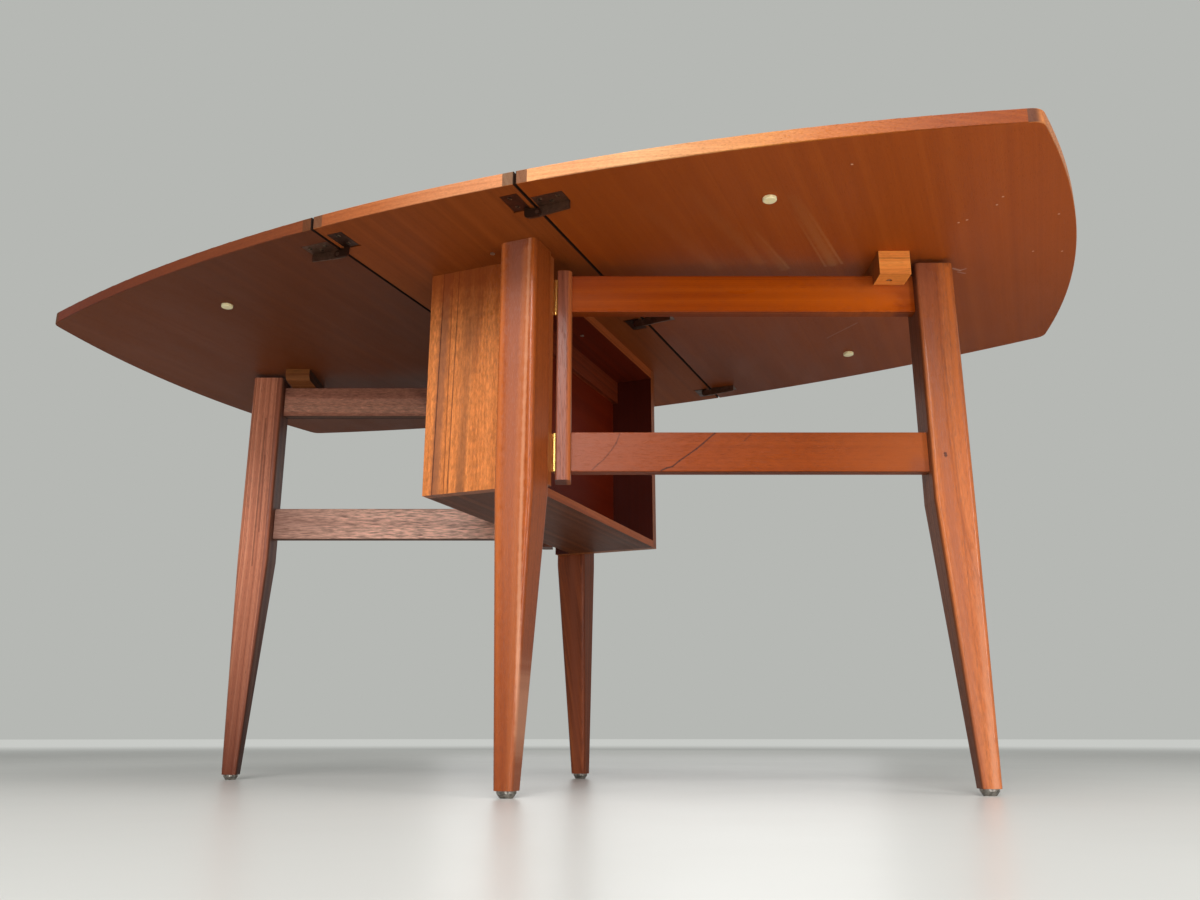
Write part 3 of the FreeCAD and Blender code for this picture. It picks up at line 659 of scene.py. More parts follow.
@dataclass(frozen=True)
class EdgedVeneer:
    """A solid edge strip between two veneers: one above, one below, and the strip's own wood round the rim."""

    name: str
    upper: Wood
    veneer: Wood
    strip: Wood
    # Painted light and shade along the rim: places along the table with shares of red, green and blue, and the
    # highest share.
    painted_light: tuple[tuple[float, Colour], ...] = ()
    painted_light_peak: float = 2.5
    seam_at: float = 0.150
    # Painted shade in the seam between the boards: how far it reaches, how much colour stays, and how much duller
    # it gets.
    seam_reach: Place = (0.0021, 0.0027)
    seam_painted_shade: float = 0.06
    seam_matt: float = 0.4

    def material(self) -> bpy.types.Material:
        """Makes the material.

        Returns:
            The material.
        """
        graph = Graph(self.name)
        strip = self.strip.lay(graph)
        along = graph.parts(graph.position)[0]
        reach = graph.math("ABSOLUTE", along)
        # Paints light and shade along the rim: a painted sheen where the shares are high, painted shade where they
        # are low.
        if self.painted_light:
            first, last = self.painted_light[0][0], self.painted_light[-1][0]
            place = graph.math("SUBTRACT", along if first < 0 else reach, first)
            place = graph.math("DIVIDE", place, last - first)
            stops = [((spot - first) / (last - first), tuple(share / self.painted_light_peak for share in tint))
                     for spot, tint in self.painted_light]
            painted_light_colour = graph.mixed(1.0, strip.colour, graph.ramp(place, stops), "MULTIPLY")
            strip.colour = graph.scaled(painted_light_colour, self.painted_light_peak)
        layer = joined_woods(graph, graph.looks(2, LEVEL), strip, self.veneer.lay(graph))
        layer = faced(graph, self.upper, layer)
        # Painted shade in the seam between the boards: the faces beside it go almost black and duller.
        off_seam = graph.math("ABSOLUTE", graph.math("SUBTRACT", reach, self.seam_at))
        layer.colour = graph.scaled(layer.colour, graph.step(off_seam, *self.seam_reach, self.seam_painted_shade, 1.0))
        seam_matt = graph.step(off_seam, *self.seam_reach, self.seam_matt, 0.0)
        layer.roughness = graph.math("ADD", layer.roughness, seam_matt, clamp=True)
        return self.strip.lacquered(graph, layer)


@dataclass(frozen=True)
class Metal:
    """A plated or bare metal with a tarnish over it."""

    FINE_SCALE, LINE_SCALE = 1800.0, 2600.0
    TARNISH_MATT, FINE_MATT, FINE_SHADE, RELIEF = 0.22, 0.08, 0.12, 0.00002

    name: str
    bright: Colour
    tarnish: Colour
    spread: tuple[float, float]
    polish: float
    blotch: float = 0.006
    brushed: float = 0.0

    def material(self) -> bpy.types.Material:
        """Makes the material.

        Returns:
            The material.
        """
        graph = Graph(self.name)
        age = graph.step(graph.cloud(graph.position, 4.0, 0.65, 1 / self.blotch), *self.spread)
        fine = graph.cloud(graph.position, 2.0, 0.6, self.FINE_SCALE)
        lines = graph.bands(graph.math("MULTIPLY", graph.parts(graph.position)[2], self.LINE_SCALE), 1.0)
        shade = graph.math("ADD", graph.swing(fine, self.FINE_SHADE), graph.swing(lines, self.brushed))
        matt = graph.step(age, 0.0, 1.0, self.polish, self.polish + self.TARNISH_MATT)
        layer = Layer(
            graph.scaled(graph.mixed(age, self.bright, self.tarnish), graph.math("ADD", shade, 1.0)),
            graph.math("ADD", matt, graph.swing(fine, self.FINE_MATT)),
            graph.math("ADD", fine, graph.math("MULTIPLY", lines, self.brushed)),
        )
        return graph.finish(layer, self.RELIEF, Metallic=0.92)


@dataclass(frozen=True)
class Plastic:
    """A moulded plastic gone a little yellow and scuffed."""

    AGE_SCALE, SCUFF_SCALE = 260.0, 1100.0
    AGE_EDGE, SCUFF_EDGE = (0.35, 0.70), (0.60, 0.70)
    MATT, SCUFF_MATT, SCUFF_SHADE, RELIEF = 0.34, 0.25, 0.12, 0.00004

    name: str
    fresh: Colour
    aged: Colour

    def material(self) -> bpy.types.Material:
        """Makes the material.

        Returns:
            The material.
        """
        graph = Graph(self.name)
        age = graph.cloud(graph.position, 3.0, 0.6, self.AGE_SCALE)
        scuff = graph.step(graph.cloud(graph.position, 2.0, 0.6, self.SCUFF_SCALE), *self.SCUFF_EDGE)
        colour = graph.mixed(graph.step(age, *self.AGE_EDGE), self.fresh, self.aged)
        layer = Layer(
            graph.scaled(colour, graph.math("MULTIPLY_ADD", scuff, -self.SCUFF_SHADE, 1.0)),
            graph.math("MULTIPLY_ADD", scuff, self.SCUFF_MATT, self.MATT),
            graph.math("SUBTRACT", age, scuff),
        )
        return graph.finish(layer, self.RELIEF, Coat_Weight=0.12, Coat_Roughness=0.15)


def dress(material: bpy.types.Material, *nodes: str) -> None:
    """Gives pieces of the frame their finish.

    Args:
        material: The finish.
        *nodes: The pieces' names.
    """
    for node in nodes:
        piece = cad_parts[node]
        if piece.material_slots:
            for place in piece.material_slots:
                place.material = material
        else:
            piece.data.materials.append(material)
        LOG.info("%s in %s", node, material.name)


def pair(name: str) -> tuple[str, str]:
    """Names the right and the left piece of a pair.

    Args:
        name: What both are called.

    Returns:
        The two names.
    """
    return "right_" + name, "left_" + name


class Side(Enum):
    """The two ends of the table, which are half a turn apart."""

    RIGHT = "right"
    LEFT = "left"

    @property
    def sign(self) -> int:
        """One on the right, minus one on the left."""
        return 1 if self is Side.RIGHT else -1


@dataclass
class TableTop:
    """The three veneered boards and the solid strips round them."""

    # The lower veneers carry painted light towards the table's ends; the right one also carries painted shade
    # towards its back.
    right_veneer: Wood = Wood(
        "right_leaf_veneer", seen(122, 51, 7), seen(145, 65, 11), seen(165, 81, 20), grain=Grain.ALONG_Y,
        heart=(-4.0, 0.3), ring=0.016, wander=0.004, contrast=0.16, pores=0.16, figure=0.06, figure_long=0.060,
        drift=0.12, matt=0.34, raw_below=0.16, painted_light_outward=0.50, painted_shade_backward=0.38, specular=0.18, coat=0.0, shift=2.0)
    centre_veneer: Wood = Wood(
        "centre_veneer", seen(112, 52, 14), seen(134, 64, 18), seen(152, 78, 28), grain=Grain.ALONG_Y,
        heart=(-4.0, 0.3), ring=0.014, wander=0.004, contrast=0.26, pores=0.16, figure=0.06, figure_long=0.060,
        drift=0.16, matt=0.36, raw_below=0.22, specular=0.15, coat=0.0, shift=5.0)
    left_veneer: Wood = Wood(
        "left_leaf_veneer", seen(82, 36, 12), seen(98, 46, 15), seen(114, 57, 23), grain=Grain.ALONG_Y,
        heart=(4.0, 0.3), ring=0.015, wander=0.004, contrast=0.18, pores=0.16, figure=0.06, figure_long=0.060,
        drift=0.14, matt=0.38, raw_below=0.12, painted_light_outward=0.55, specular=0.18, coat=0.0, shift=8.0)
    upper: Wood = Wood(
        "upper_veneer", seen(122, 60, 26), seen(150, 79, 36), seen(172, 99, 52), grain=Grain.ALONG_Y,
        heart=(-4.0, 0.3), ring=0.015, wander=0.005, contrast=0.42, pores=0.20, figure=0.08, figure_long=0.060,
        drift=0.12, matt=0.32, shift=11.0)
    rim: Wood = Wood(
        "rim_strip", seen(168, 92, 48), seen(204, 124, 70), seen(226, 150, 92), grain=Grain.ALONG_X,
        heart=(-0.9, 0.1), ring=0.004, contrast=0.3, pores=0.24, figure=0.26, figure_long=0.0035,
        figure_wide=0.0022, drift=0.10, matt=0.42, specular=0.10, coat=0.0, end=(0.42, 0.36, 0.34), shift=1.0)
    specks: Specks = Specks(
        ((0.5356, -0.3298), (0.6964, -0.1820), (0.6887, -0.1635), (0.7612, -0.1080), (0.7295, -0.0074),
         (0.7665, 0.0080), (0.6512, -0.1365), (0.6404, -0.1330)), 0.0020, seen(226, 176, 140))
    scuffs: tuple[Streak, ...] = (
        Streak((0.6233, 0.0068), (0.6320, 0.0176), 0.0030, seen(196, 150, 128), 0.7),
        Streak((0.6320, 0.0176), (0.6400, 0.0150), 0.0022, seen(196, 150, 128), 0.6),
        Streak((0.6290, 0.0220), (0.6380, 0.0309), 0.0022, seen(196, 150, 128), 0.5),
        Streak((0.4068, 0.2053), (0.4640, 0.1581), 0.0016, seen(168, 124, 104), 0.55),
        Streak((0.4552, -0.2800), (0.4670, -0.0724), 0.0110, seen(190, 128, 72), 0.34, (0.2, 1.0)),
        Streak((0.4640, -0.2600), (0.4790, -0.0700), 0.0030, seen(204, 144, 88), 0.34, (0.1, 1.0)),
        Streak((0.4470, -0.2400), (0.4560, -0.0700), 0.0026, seen(204, 144, 88), 0.28, (0.1, 1.0)),
        Streak((0.3857, -0.2300), (0.4004, -0.0850), 0.0110, seen(186, 118, 62), 0.26, (0.1, 1.0)),
        Streak((0.3900, -0.2100), (0.4060, -0.0850), 0.0030, seen(200, 138, 82), 0.26, (0.1, 1.0)),
        Streak((0.3427, -0.3477), (0.3729, -0.1185), 0.0140, seen(184, 112, 58), 0.20, (0.2, 1.0)),
        Streak((0.2746, -0.3330), (0.3095, -0.1273), 0.0150, seen(182, 108, 56), 0.17, (0.2, 1.0)),
    )

    back_tone: float = 0.60
    seam_tone: float = 0.80
    cross_tone: float = 0.75
    cross_heart: Place = (-1.6, 0.1)
    # Painted light and shade along the front rims: a painted sheen near the right seam, painted shade further out
    # and on the left.
    right_painted_light: tuple[tuple[float, Colour], ...] = (
        (0.15, (1.22, 1.62, 2.20)), (0.22, (1.15, 1.45, 2.00)), (0.30, (1.06, 1.57, 2.20)),
        (0.38, (0.92, 1.11, 1.20)), (0.45, (0.88, 0.92, 0.62)), (0.52, (0.69, 0.52, 0.14)),
        (0.58, (0.56, 0.38, 0.07)), (0.64, (0.41, 0.23, 0.04)), (0.80, (0.36, 0.21, 0.05)))
    centre_painted_light: tuple[tuple[float, Colour], ...] = (
        (-0.15, (0.48, 0.38, 0.38)), (-0.05, (0.62, 0.54, 0.55)), (0.05, (0.85, 0.94, 1.26)),
        (0.15, (1.0, 1.20, 1.70)))
    left_painted_light: tuple[tuple[float, Colour], ...] = (
        (0.15, (0.31, 0.22, 0.21)), (0.30, (0.25, 0.16, 0.13)), (0.60, (0.21, 0.09, 0.02)),
        (0.80, (0.24, 0.08, 0.02)))

    def board_material(self, veneer: Wood, marks: Iterable[Streak | Specks] = ()) -> bpy.types.Material:
        """Makes a board's two veneers, with the worn places of the lower one.

        Args:
            veneer: The veneer underneath.
            marks: Its worn places.

        Returns:
            The material.
        """
        graph = Graph(veneer.name)
        layer = veneer.lay(graph)
        layer.draw(graph, graph.vector("MULTIPLY", graph.position, FLAT), marks)
        return veneer.lacquered(graph, faced(graph, self.upper, layer))

    def strip(
        self, name: str, veneer: Wood, grain: Grain, tone: float, shift: float,
        painted_light: tuple[tuple[float, Colour], ...] = (), end: Colour | None = None
    ) -> bpy.types.Material:
        """Makes the finish of one edge strip.

        Args:
            name: The finish's name.
            veneer: The veneer over the strip.
            grain: The way the strip runs.
            tone: How light its wood is beside the front strip of the right leaf.
            shift: Where along the tree it was cut.
            painted_light: The painted light and shade along the table, as places and the shares of red, green and
                blue there.
            end: The tint of its cut ends, if it isn't the front strip's.

        Returns:
            The material.
        """
        rim = self.rim
        tones = (tuple(channel * tone for channel in colour) for colour in (rim.deep, rim.body, rim.pale))
        deep, body, pale = tones
        heart = rim.heart if grain is Grain.ALONG_X else self.cross_heart
        wood = replace(rim, deep=deep, body=body, pale=pale, grain=grain, heart=heart, shift=shift,
                       specular=veneer.specular, end=end or rim.end)
        return EdgedVeneer(name, self.upper, veneer, wood, painted_light).material()

    def build(self) -> None:
        """Dresses the top."""
        centre = self.centre_veneer
        dress(self.board_material(centre), "centre_board")
        dress(self.board_material(self.right_veneer, (*reversed(self.scuffs), self.specks)), "right_leaf_board")
        dress(self.board_material(self.left_veneer), "left_leaf_board")
        rim = self.strip("centre_rim", centre, Grain.ALONG_X, 1.0, 1.0, self.centre_painted_light)
        back = self.strip("centre_back_rim", centre, Grain.ALONG_X, self.back_tone, 6.0)
        dress(rim, "centre_side_lipping_front")
        dress(back, "centre_side_lipping_back")
        for side, veneer, painted_light, tone, cut, seam_end, cross_end, outer_end in (
            (Side.RIGHT, self.right_veneer, self.right_painted_light, 1.0, 2.0,
             (0.40, 0.60, 1.05), (0.46, 0.56, 0.85), (0.25, 0.24, 0.35)),
            (Side.LEFT, self.left_veneer, self.left_painted_light, 0.55, 5.0,
             (0.30, 0.34, 0.50), (0.44, 0.40, 0.42), (0.44, 0.40, 0.42)),
        ):
            label = side.value
            seam = self.strip(label + "_seam_strip", centre, Grain.ALONG_Y, self.seam_tone, cut, end=seam_end)
            dress(seam, "centre_seam_lipping_" + label)
            rim = self.strip(label + "_rim", veneer, Grain.ALONG_X, 1.0, 3.0, painted_light)
            back = self.strip(label + "_back_rim", veneer, Grain.ALONG_X, self.back_tone, 6.0)
            near, far = ("front", "back") if side is Side.RIGHT else ("back", "front")
            dress(rim, f"{label}_leaf_side_lipping_{near}")
            dress(back, f"{label}_leaf_side_lipping_{far}")
            tone *= self.cross_tone
            cross = self.strip(label + "_cross_strip", veneer, Grain.ALONG_Y, tone, 4.0, end=cross_end)
            dress(cross, label + "_leaf_seam_lipping")
            outer = self.strip(label + "_end_strip", veneer, Grain.ALONG_Y, tone, 4.0, end=outer_end)
            dress(outer, label + "_leaf_end_lipping")


@dataclass
class StorageBox:
    """The open-sided box between the fixed legs."""

    front: Wood = Wood(
        "box_front_veneer", seen(164, 94, 46), seen(206, 122, 64), seen(230, 146, 82), heart=(-0.7, 0.2),
        ring=0.008, wander=0.003, contrast=0.42, pores=0.30, figure=0.62, figure_long=0.009, figure_wide=0.0028,
        drift=0.10, matt=0.30, specular=0.25, coat=0.05, shift=1.5)
    front_marks: tuple[Streak, ...] = (
        Streak((-0.0600, 0.380), (-0.0535, 0.720), 0.0120, seen(128, 78, 56), 0.72),
        Streak((-0.0645, 0.380), (-0.0586, 0.720), 0.0013, seen(84, 44, 28), 0.95),
        Streak((-0.0460, 0.380), (-0.0440, 0.720), 0.0012, seen(110, 60, 34), 0.70),
        Streak((-0.0400, 0.380), (-0.0335, 0.720), 0.0013, seen(100, 54, 32), 0.80),
        Streak((-0.0215, 0.380), (-0.0120, 0.640), 0.0105, seen(124, 80, 54), 0.66, (1.0, 0.25)),
        Streak((-0.0300, 0.460), (-0.0180, 0.720), 0.0090, seen(126, 78, 50), 0.45, (0.1, 1.0)),
        Streak((-0.0120, 0.600), (-0.0020, 0.720), 0.0150, seen(124, 70, 42), 0.36),
        Streak((-0.0050, 0.560), (0.0060, 0.700), 0.0070, seen(126, 68, 42), 0.32),
        # Painted shade under the table top, darkening the panel's upper part.
        Streak((-0.1500, 0.7300), (0.1500, 0.7300), 0.1050, seen(142, 62, 22), 0.78),
    )
    edge_wood: Wood = Wood(
        "box_edge", seen(124, 60, 22), seen(150, 76, 32), seen(168, 92, 44), heart=(-0.4, 0.3), ring=0.005,
        contrast=0.6, matt=0.40, specular=0.20, coat=0.0, shift=3.4)
    sides: Wood = Wood(
        "box_side_veneer", seen(80, 22, 8), seen(100, 30, 11), seen(120, 42, 18), grain=Grain.ALONG_Y,
        heart=(-0.9, 0.5), ring=0.012, contrast=0.4, matt=0.42, specular=0.15, coat=0.0, shift=0.5)
    floor: Wood = Wood(
        "box_floor_veneer", seen(76, 38, 18), seen(96, 50, 26), seen(116, 64, 36), grain=Grain.ALONG_Y,
        heart=(-0.9, 0.3), ring=0.012, contrast=0.7, figure=0.10, matt=0.46, specular=0.15, coat=0.0, shift=4.4)
    floor_edge: Wood = Wood(
        "box_floor_edge", seen(144, 66, 26), seen(170, 84, 37), seen(190, 100, 50), grain=Grain.ALONG_Y,
        heart=(-0.4, 0.3), ring=0.005, matt=0.40, specular=0.25, shift=2.4)
    inside: Wood = Wood(
        "divider_veneer", seen(92, 20, 3), seen(107, 28, 5), seen(122, 36, 8), grain=Grain.ALONG_Y,
        heart=(-0.8, 0.2), ring=0.010, contrast=0.3, drift=0.12, matt=0.44, specular=0.10, coat=0.0, shift=6.1)
    # Painted shade inside the box: the share of colour left on the panels' inner faces.
    inner_painted_shade: float = 0.42
    batten: Wood = Wood(
        "batten_wood", seen(96, 34, 12), seen(117, 44, 19), seen(138, 58, 28), grain=Grain.ALONG_Y,
        heart=(-0.3, 0.4), ring=0.005, contrast=1.0, matt=0.40, specular=0.20, coat=0.0, shift=3.3)

    def floor_material(self) -> bpy.types.Material:
        """Makes the floor's veneer with the paler strip on its long edges."""
        graph = Graph(self.floor.name)
        edge = self.floor_edge.lay(graph)
        layer = joined_woods(graph, graph.looks(2, LEVEL), edge, self.floor.lay(graph))
        return self.floor.lacquered(graph, layer)

    def panel_material(self, outer: Wood, side: int) -> bpy.types.Material:
        """Makes an end panel's finish, with painted shade at its top, edge strips, and the box's veneer in painted
        shade on its inner face.

        Args:
            outer: The veneer on its outer face.
            side: Which way along Y its inner face looks.

        Returns:
            The material.
        """
        graph = Graph(outer.name)
        x, _, z = graph.parts(graph.position)
        veneer = outer.lay(graph)
        veneer.draw(graph, graph.joined(graph.math("MULTIPLY", x, float(side)), z), self.front_marks)
        veneer = joined_woods(graph, graph.looks(0, EDGE_ON), veneer, self.edge_wood.lay(graph))
        inward = graph.step(graph.math("MULTIPLY", graph.parts(graph.facing)[1], float(side)), *EDGE_ON)
        inner = replace(self.inside, grain=Grain.UPRIGHT, shift=outer.shift).lay(graph)
        # Painted shade inside the box: the inner face is darkened.
        inner.colour = graph.scaled(inner.colour, self.inner_painted_shade)
        return outer.lacquered(graph, joined_woods(graph, inward, veneer, inner))

    def roof_material(self) -> bpy.types.Material:
        """Makes the roof's veneer with the paler strip on its long edges."""
        graph = Graph(self.sides.name)
        edge = replace(self.floor_edge, shift=7.7).lay(graph)
        layer = joined_woods(graph, graph.looks(0, EDGE_ON), self.sides.lay(graph), edge)
        return self.sides.lacquered(graph, layer)

    def build(self) -> None:
        """Dresses the box."""
        dress(self.panel_material(self.front, 1), "box_front_panel")
        dress(self.panel_material(replace(self.front, name="box_back_veneer", shift=7.5), -1), "box_back_panel")
        dress(self.roof_material(), "box_top_panel")
        dress(self.floor_material(), "box_bottom_panel")
        dress(self.inside.material(), "box_divider")
        dress(self.batten.material(), *pair("divider_batten"))


@dataclass
class FixedLegs:
    """The two tapered legs that stand at opposite corners of the box."""

    front: Wood = Wood(
        "front_leg_wood", seen(134, 58, 14), seen(156, 73, 22), seen(178, 92, 37), heart=(0.35, -0.9), ring=0.006,
        wander=0.005, contrast=0.5, pores=0.26, figure=0.34, figure_long=0.010, figure_wide=0.0022, drift=0.08,
        matt=0.26, specular=0.30, coat=0.10, shift=0.4)
    rear: Wood = Wood(
        "rear_leg_wood", seen(104, 48, 24), seen(134, 64, 32), seen(156, 82, 44), heart=(-0.30, 0.9), ring=0.007,
        wander=0.006, contrast=0.8, pores=0.28, figure=0.08, drift=0.10, matt=0.36, specular=0.20, coat=0.03,
        shift=2.9)

    front_marks: tuple[Streak, ...] = (
        Streak((0.0680, -0.020), (0.0625, 0.720), 0.0110, seen(210, 116, 60), 0.80, (0.2, 1.0)),
        # A mauve band of the wood that also carries a painted sheen.
        Streak((0.0850, -0.020), (0.0870, 0.720), 0.0210, seen(168, 104, 80), 0.90, (0.1, 1.0)),
        # Painted shade under the table top, darkening the leg's front towards its top.
        Streak((0.0850, 0.480), (0.0870, 0.730), 0.0260, seen(120, 66, 52), 0.60, (0.0, 1.0)),
        Streak((0.0850, -0.030), (0.0850, 0.300), 0.0600, seen(112, 44, 10), 0.60, (1.0, 0.0)),
        Streak((0.0900, -0.020), (0.1010, 0.700), 0.0090, seen(214, 128, 76), 0.50, (0.3, 0.6)),
        # A pale worn arris with a painted highlight on it.
        Streak((0.0960, -0.020), (0.1055, 0.720), 0.0036, seen(242, 180, 142), 0.55, (0.7, 0.5)),
    )
    rear_marks: tuple[Streak, ...] = (
        Streak((-0.0800, 0.000), (-0.0820, 0.400), 0.0100, seen(136, 70, 44), 0.70),
    )
    # Painted shade on the faces that look right: the share of colour taken off, and the roughness added.
    right_painted_shade: float = 0.22
    right_matt: float = 0.14

    def leg_material(self, wood: Wood, marks: Sequence[Streak]) -> bpy.types.Material:
        """Makes a leg's finish, with bands up it, some painted light and shade, and painted shade on its right
        faces.

        Args:
            wood: The leg's wood.
            marks: The bands, placed along the table and by height.

        Returns:
            The material.
        """
        graph = Graph(wood.name)
        layer = wood.lay(graph)
        x, _, z = graph.parts(graph.position)
        layer.draw(graph, graph.joined(x, z), marks)
        # Painted shade on the faces that look right.
        layer.dim(graph, graph.step(graph.parts(graph.facing)[0], *SQUARE), self.right_painted_shade, self.right_matt)
        return wood.lacquered(graph, layer)

    def build(self) -> None:
        """Dresses the legs."""
        dress(self.leg_material(self.front, self.front_marks), "front_leg")
        dress(self.leg_material(self.rear, self.rear_marks), "rear_leg")


@dataclass
class Gate:
    """A swinging gate: a hinged stile, two rails and a tapered leg."""

    side: Side
    leg: Wood
    stile: Wood
    upper_rail: Wood
    lower_rail: Wood
    leg_marks: tuple[Streak | Specks, ...] = ()
    stile_marks: tuple[Streak, ...] = ()
    upper_marks: tuple[Streak, ...] = ()
    lower_marks: tuple[Streak, ...] = ()
    # Painted shade on the faces that look towards the hinge pin: the share of colour taken off, and the roughness
    # added.
    inner_painted_shade: float = 0.62
    inner_matt: float = 0.34
    # A plain tone that faces looking back are mixed towards, keeping a painted sheen on a gate's front off its
    # back.
    rear_colour: Colour = seen(150, 80, 50)
    rear_share: float = 0.0
    pin: Place = (0.112, -0.239)

    def face(self, graph: Graph) -> Socket:
        """A point on the gate's front, as its reach from the hinge pin and its height.

        Args:
            graph: The material's graph.

        Returns:
            The point's socket, with its third number zero.
        """
        start = (self.pin[0] * self.side.sign, self.pin[1] * self.side.sign, 0.0)
        place = graph.vector("SUBTRACT", graph.position, start)
        reach, _, height = graph.parts(graph.turned(place, -GATE_TURN_DEG))
        return graph.joined(graph.math("MULTIPLY", reach, float(self.side.sign)), height)

    def marked(self, wood: Wood, marks: Iterable[Streak | Specks]) -> bpy.types.Material:
        """Makes a wood with marks seen on the gate's front, and painted shade on faces towards the hinge pin.

        Args:
            wood: The wood.
            marks: The marks, placed by reach and height.

        Returns:
            The material.
        """
        graph = Graph(wood.name)
        layer = wood.lay(graph)
        layer.draw(graph, self.face(graph), marks)
        sideways, ahead, _ = graph.parts(graph.turned(graph.facing, -GATE_TURN_DEG))
        if self.rear_share:
            rear = graph.step(ahead, *SQUARE, 0.0, self.rear_share)
            layer.colour = graph.mixed(rear, layer.colour, self.rear_colour)
        # Painted shade on the faces that look towards the hinge pin.
        inner = graph.step(graph.math("MULTIPLY", sideways, -float(self.side.sign)), *SQUARE)
        layer.dim(graph, inner, self.inner_painted_shade, self.inner_matt)
        return wood.lacquered(graph, layer)

    def build(self) -> None:
        """Dresses the gate."""
        label = self.side.value + "_gate_"
        dress(self.marked(self.leg, self.leg_marks), label + "leg")
        dress(self.marked(self.stile, self.stile_marks), label + "stile")
        dress(self.marked(self.upper_rail, self.upper_marks), label + "upper_rail")
        dress(self.marked(self.lower_rail, self.lower_marks), label + "lower_rail")


def right_gate() -> Gate:
    """Describes the right gate's woods."""
    turn = {"turn_deg": GATE_TURN_DEG}
    dark = seen(58, 24, 14)
    curve = ((0.2161, 0.4645), (0.2082, 0.4580), (0.2003, 0.4508), (0.1908, 0.4428), (0.1798, 0.4348),
             (0.1673, 0.4260), (0.1579, 0.4181), (0.1502, 0.4160), (0.1425, 0.4125))
    faint = ((0.0876, 0.4637), (0.0829, 0.4508), (0.0767, 0.4412), (0.0659, 0.4276),
             (0.0582, 0.4212), (0.0505, 0.4133))
    streaks = [
        Streak((-0.0600, 0.4385), (0.1800, 0.4385), 0.0900, seen(146, 84, 62), 0.95, (1.0, 0.0)),
        Streak((0.3400, 0.4385), (0.5200, 0.4385), 0.0800, seen(182, 98, 50), 0.50, (0.0, 1.0)),
        Streak((0.4900, 0.4150), (0.5400, 0.4150), 0.0240, seen(124, 66, 46), 0.45),
    ]
    streaks += [Streak(start, end, 0.0016, dark, 0.85) for start, end in zip(curve, curve[1:])]
    streaks += [Streak(start, end, 0.0015, dark, 0.50) for start, end in zip(faint, faint[1:])]
    streaks.append(Streak((0.2652, 0.4639), (0.2554, 0.4541), 0.0015, dark, 0.40))
    return Gate(
        Side.RIGHT,
        leg=Wood(
            "right_gate_leg_wood", seen(128, 60, 26), seen(176, 94, 46), seen(204, 122, 72), heart=(0.60, -0.6),
            ring=0.006, wander=0.005, contrast=0.7, pores=0.30, figure=0.30, figure_long=0.010, figure_wide=0.0022,
            drift=0.08, matt=0.26, specular=0.28, coat=0.08, shift=1.7, **turn),
        stile=Wood(
            "right_stile_wood", seen(108, 56, 38), seen(138, 75, 52), seen(162, 95, 67), heart=(0.2, 0.5),
            ring=0.005, contrast=0.9, matt=0.32, specular=0.22, coat=0.05, shift=3.0, **turn),
        upper_rail=Wood(
            "right_upper_rail_wood", seen(134, 50, 2), seen(160, 66, 3), seen(180, 84, 8), grain=Grain.ALONG_X,
            heart=(-0.05, 0.36), ring=0.007, wander=0.014, contrast=0.5, pores=0.20, figure=0.08, figure_long=0.05,
            drift=0.10, matt=0.30, raw_below=0.25, painted_shade_below=0.35, specular=0.12, coat=0.03, shift=0.9, **turn),
        lower_rail=Wood(
            "right_lower_rail_wood", seen(114, 46, 6), seen(130, 55, 8), seen(146, 67, 17), grain=Grain.ALONG_X,
            heart=(-0.3, 0.9), ring=0.010, wander=0.010, contrast=0.3, pores=0.20, figure=0.16, figure_long=0.012,
            figure_wide=0.006, drift=0.16, matt=0.30, raw_below=0.20, painted_shade_below=0.30, specular=0.14, coat=0.03,
            shift=5.2, **turn),
        lower_marks=tuple(streaks),
        upper_marks=(
            Streak((-0.0800, 0.7000), (0.1800, 0.7000), 0.0500, seen(140, 64, 42), 0.80, (1.0, 0.0)),
            Streak((-0.0800, 0.6600), (0.1400, 0.6560), 0.0200, seen(176, 92, 52), 0.60, (1.0, 0.0)),
            Streak((0.2200, 0.6660), (0.4600, 0.6590), 0.0300, seen(204, 96, 10), 0.75, (0.0, 1.0)),
            Streak((0.3400, 0.6950), (0.5200, 0.6800), 0.0400, seen(168, 86, 42), 0.60, (0.0, 1.0)),
        ),
        stile_marks=(Streak((0.0200, 0.390), (0.0200, 0.700), 0.0050, seen(170, 92, 46), 0.85),),
        leg_marks=(
            # Painted shade under the leaf, darkening the leg towards its top.
            Streak((0.5150, 0.5200), (0.5130, 0.7300), 0.0300, seen(126, 68, 50), 0.80, (0.0, 1.0)),
            Streak((0.5300, -0.0200), (0.5130, 0.6200), 0.0110, seen(150, 86, 62), 0.60, (0.7, 1.0)),
            Streak((0.5440, 0.3000), (0.5460, 0.7000), 0.0050, seen(206, 112, 50), 0.60, (0.0, 1.0)),
            Streak((0.5380, 0.0200), (0.5300, 0.5800), 0.0020, seen(112, 54, 28), 0.50, (0.3, 0.8)),
            # Painted highlight low on the leg's right arris.
            Streak((0.5460, 0.0000), (0.5450, 0.3000), 0.0060, seen(222, 158, 124), 0.50, (0.8, 0.2)),
            Specks(((0.5192, 0.4321), (0.5196, 0.4296)), 0.0030, seen(62, 28, 20), 0.85),
        ),
    )


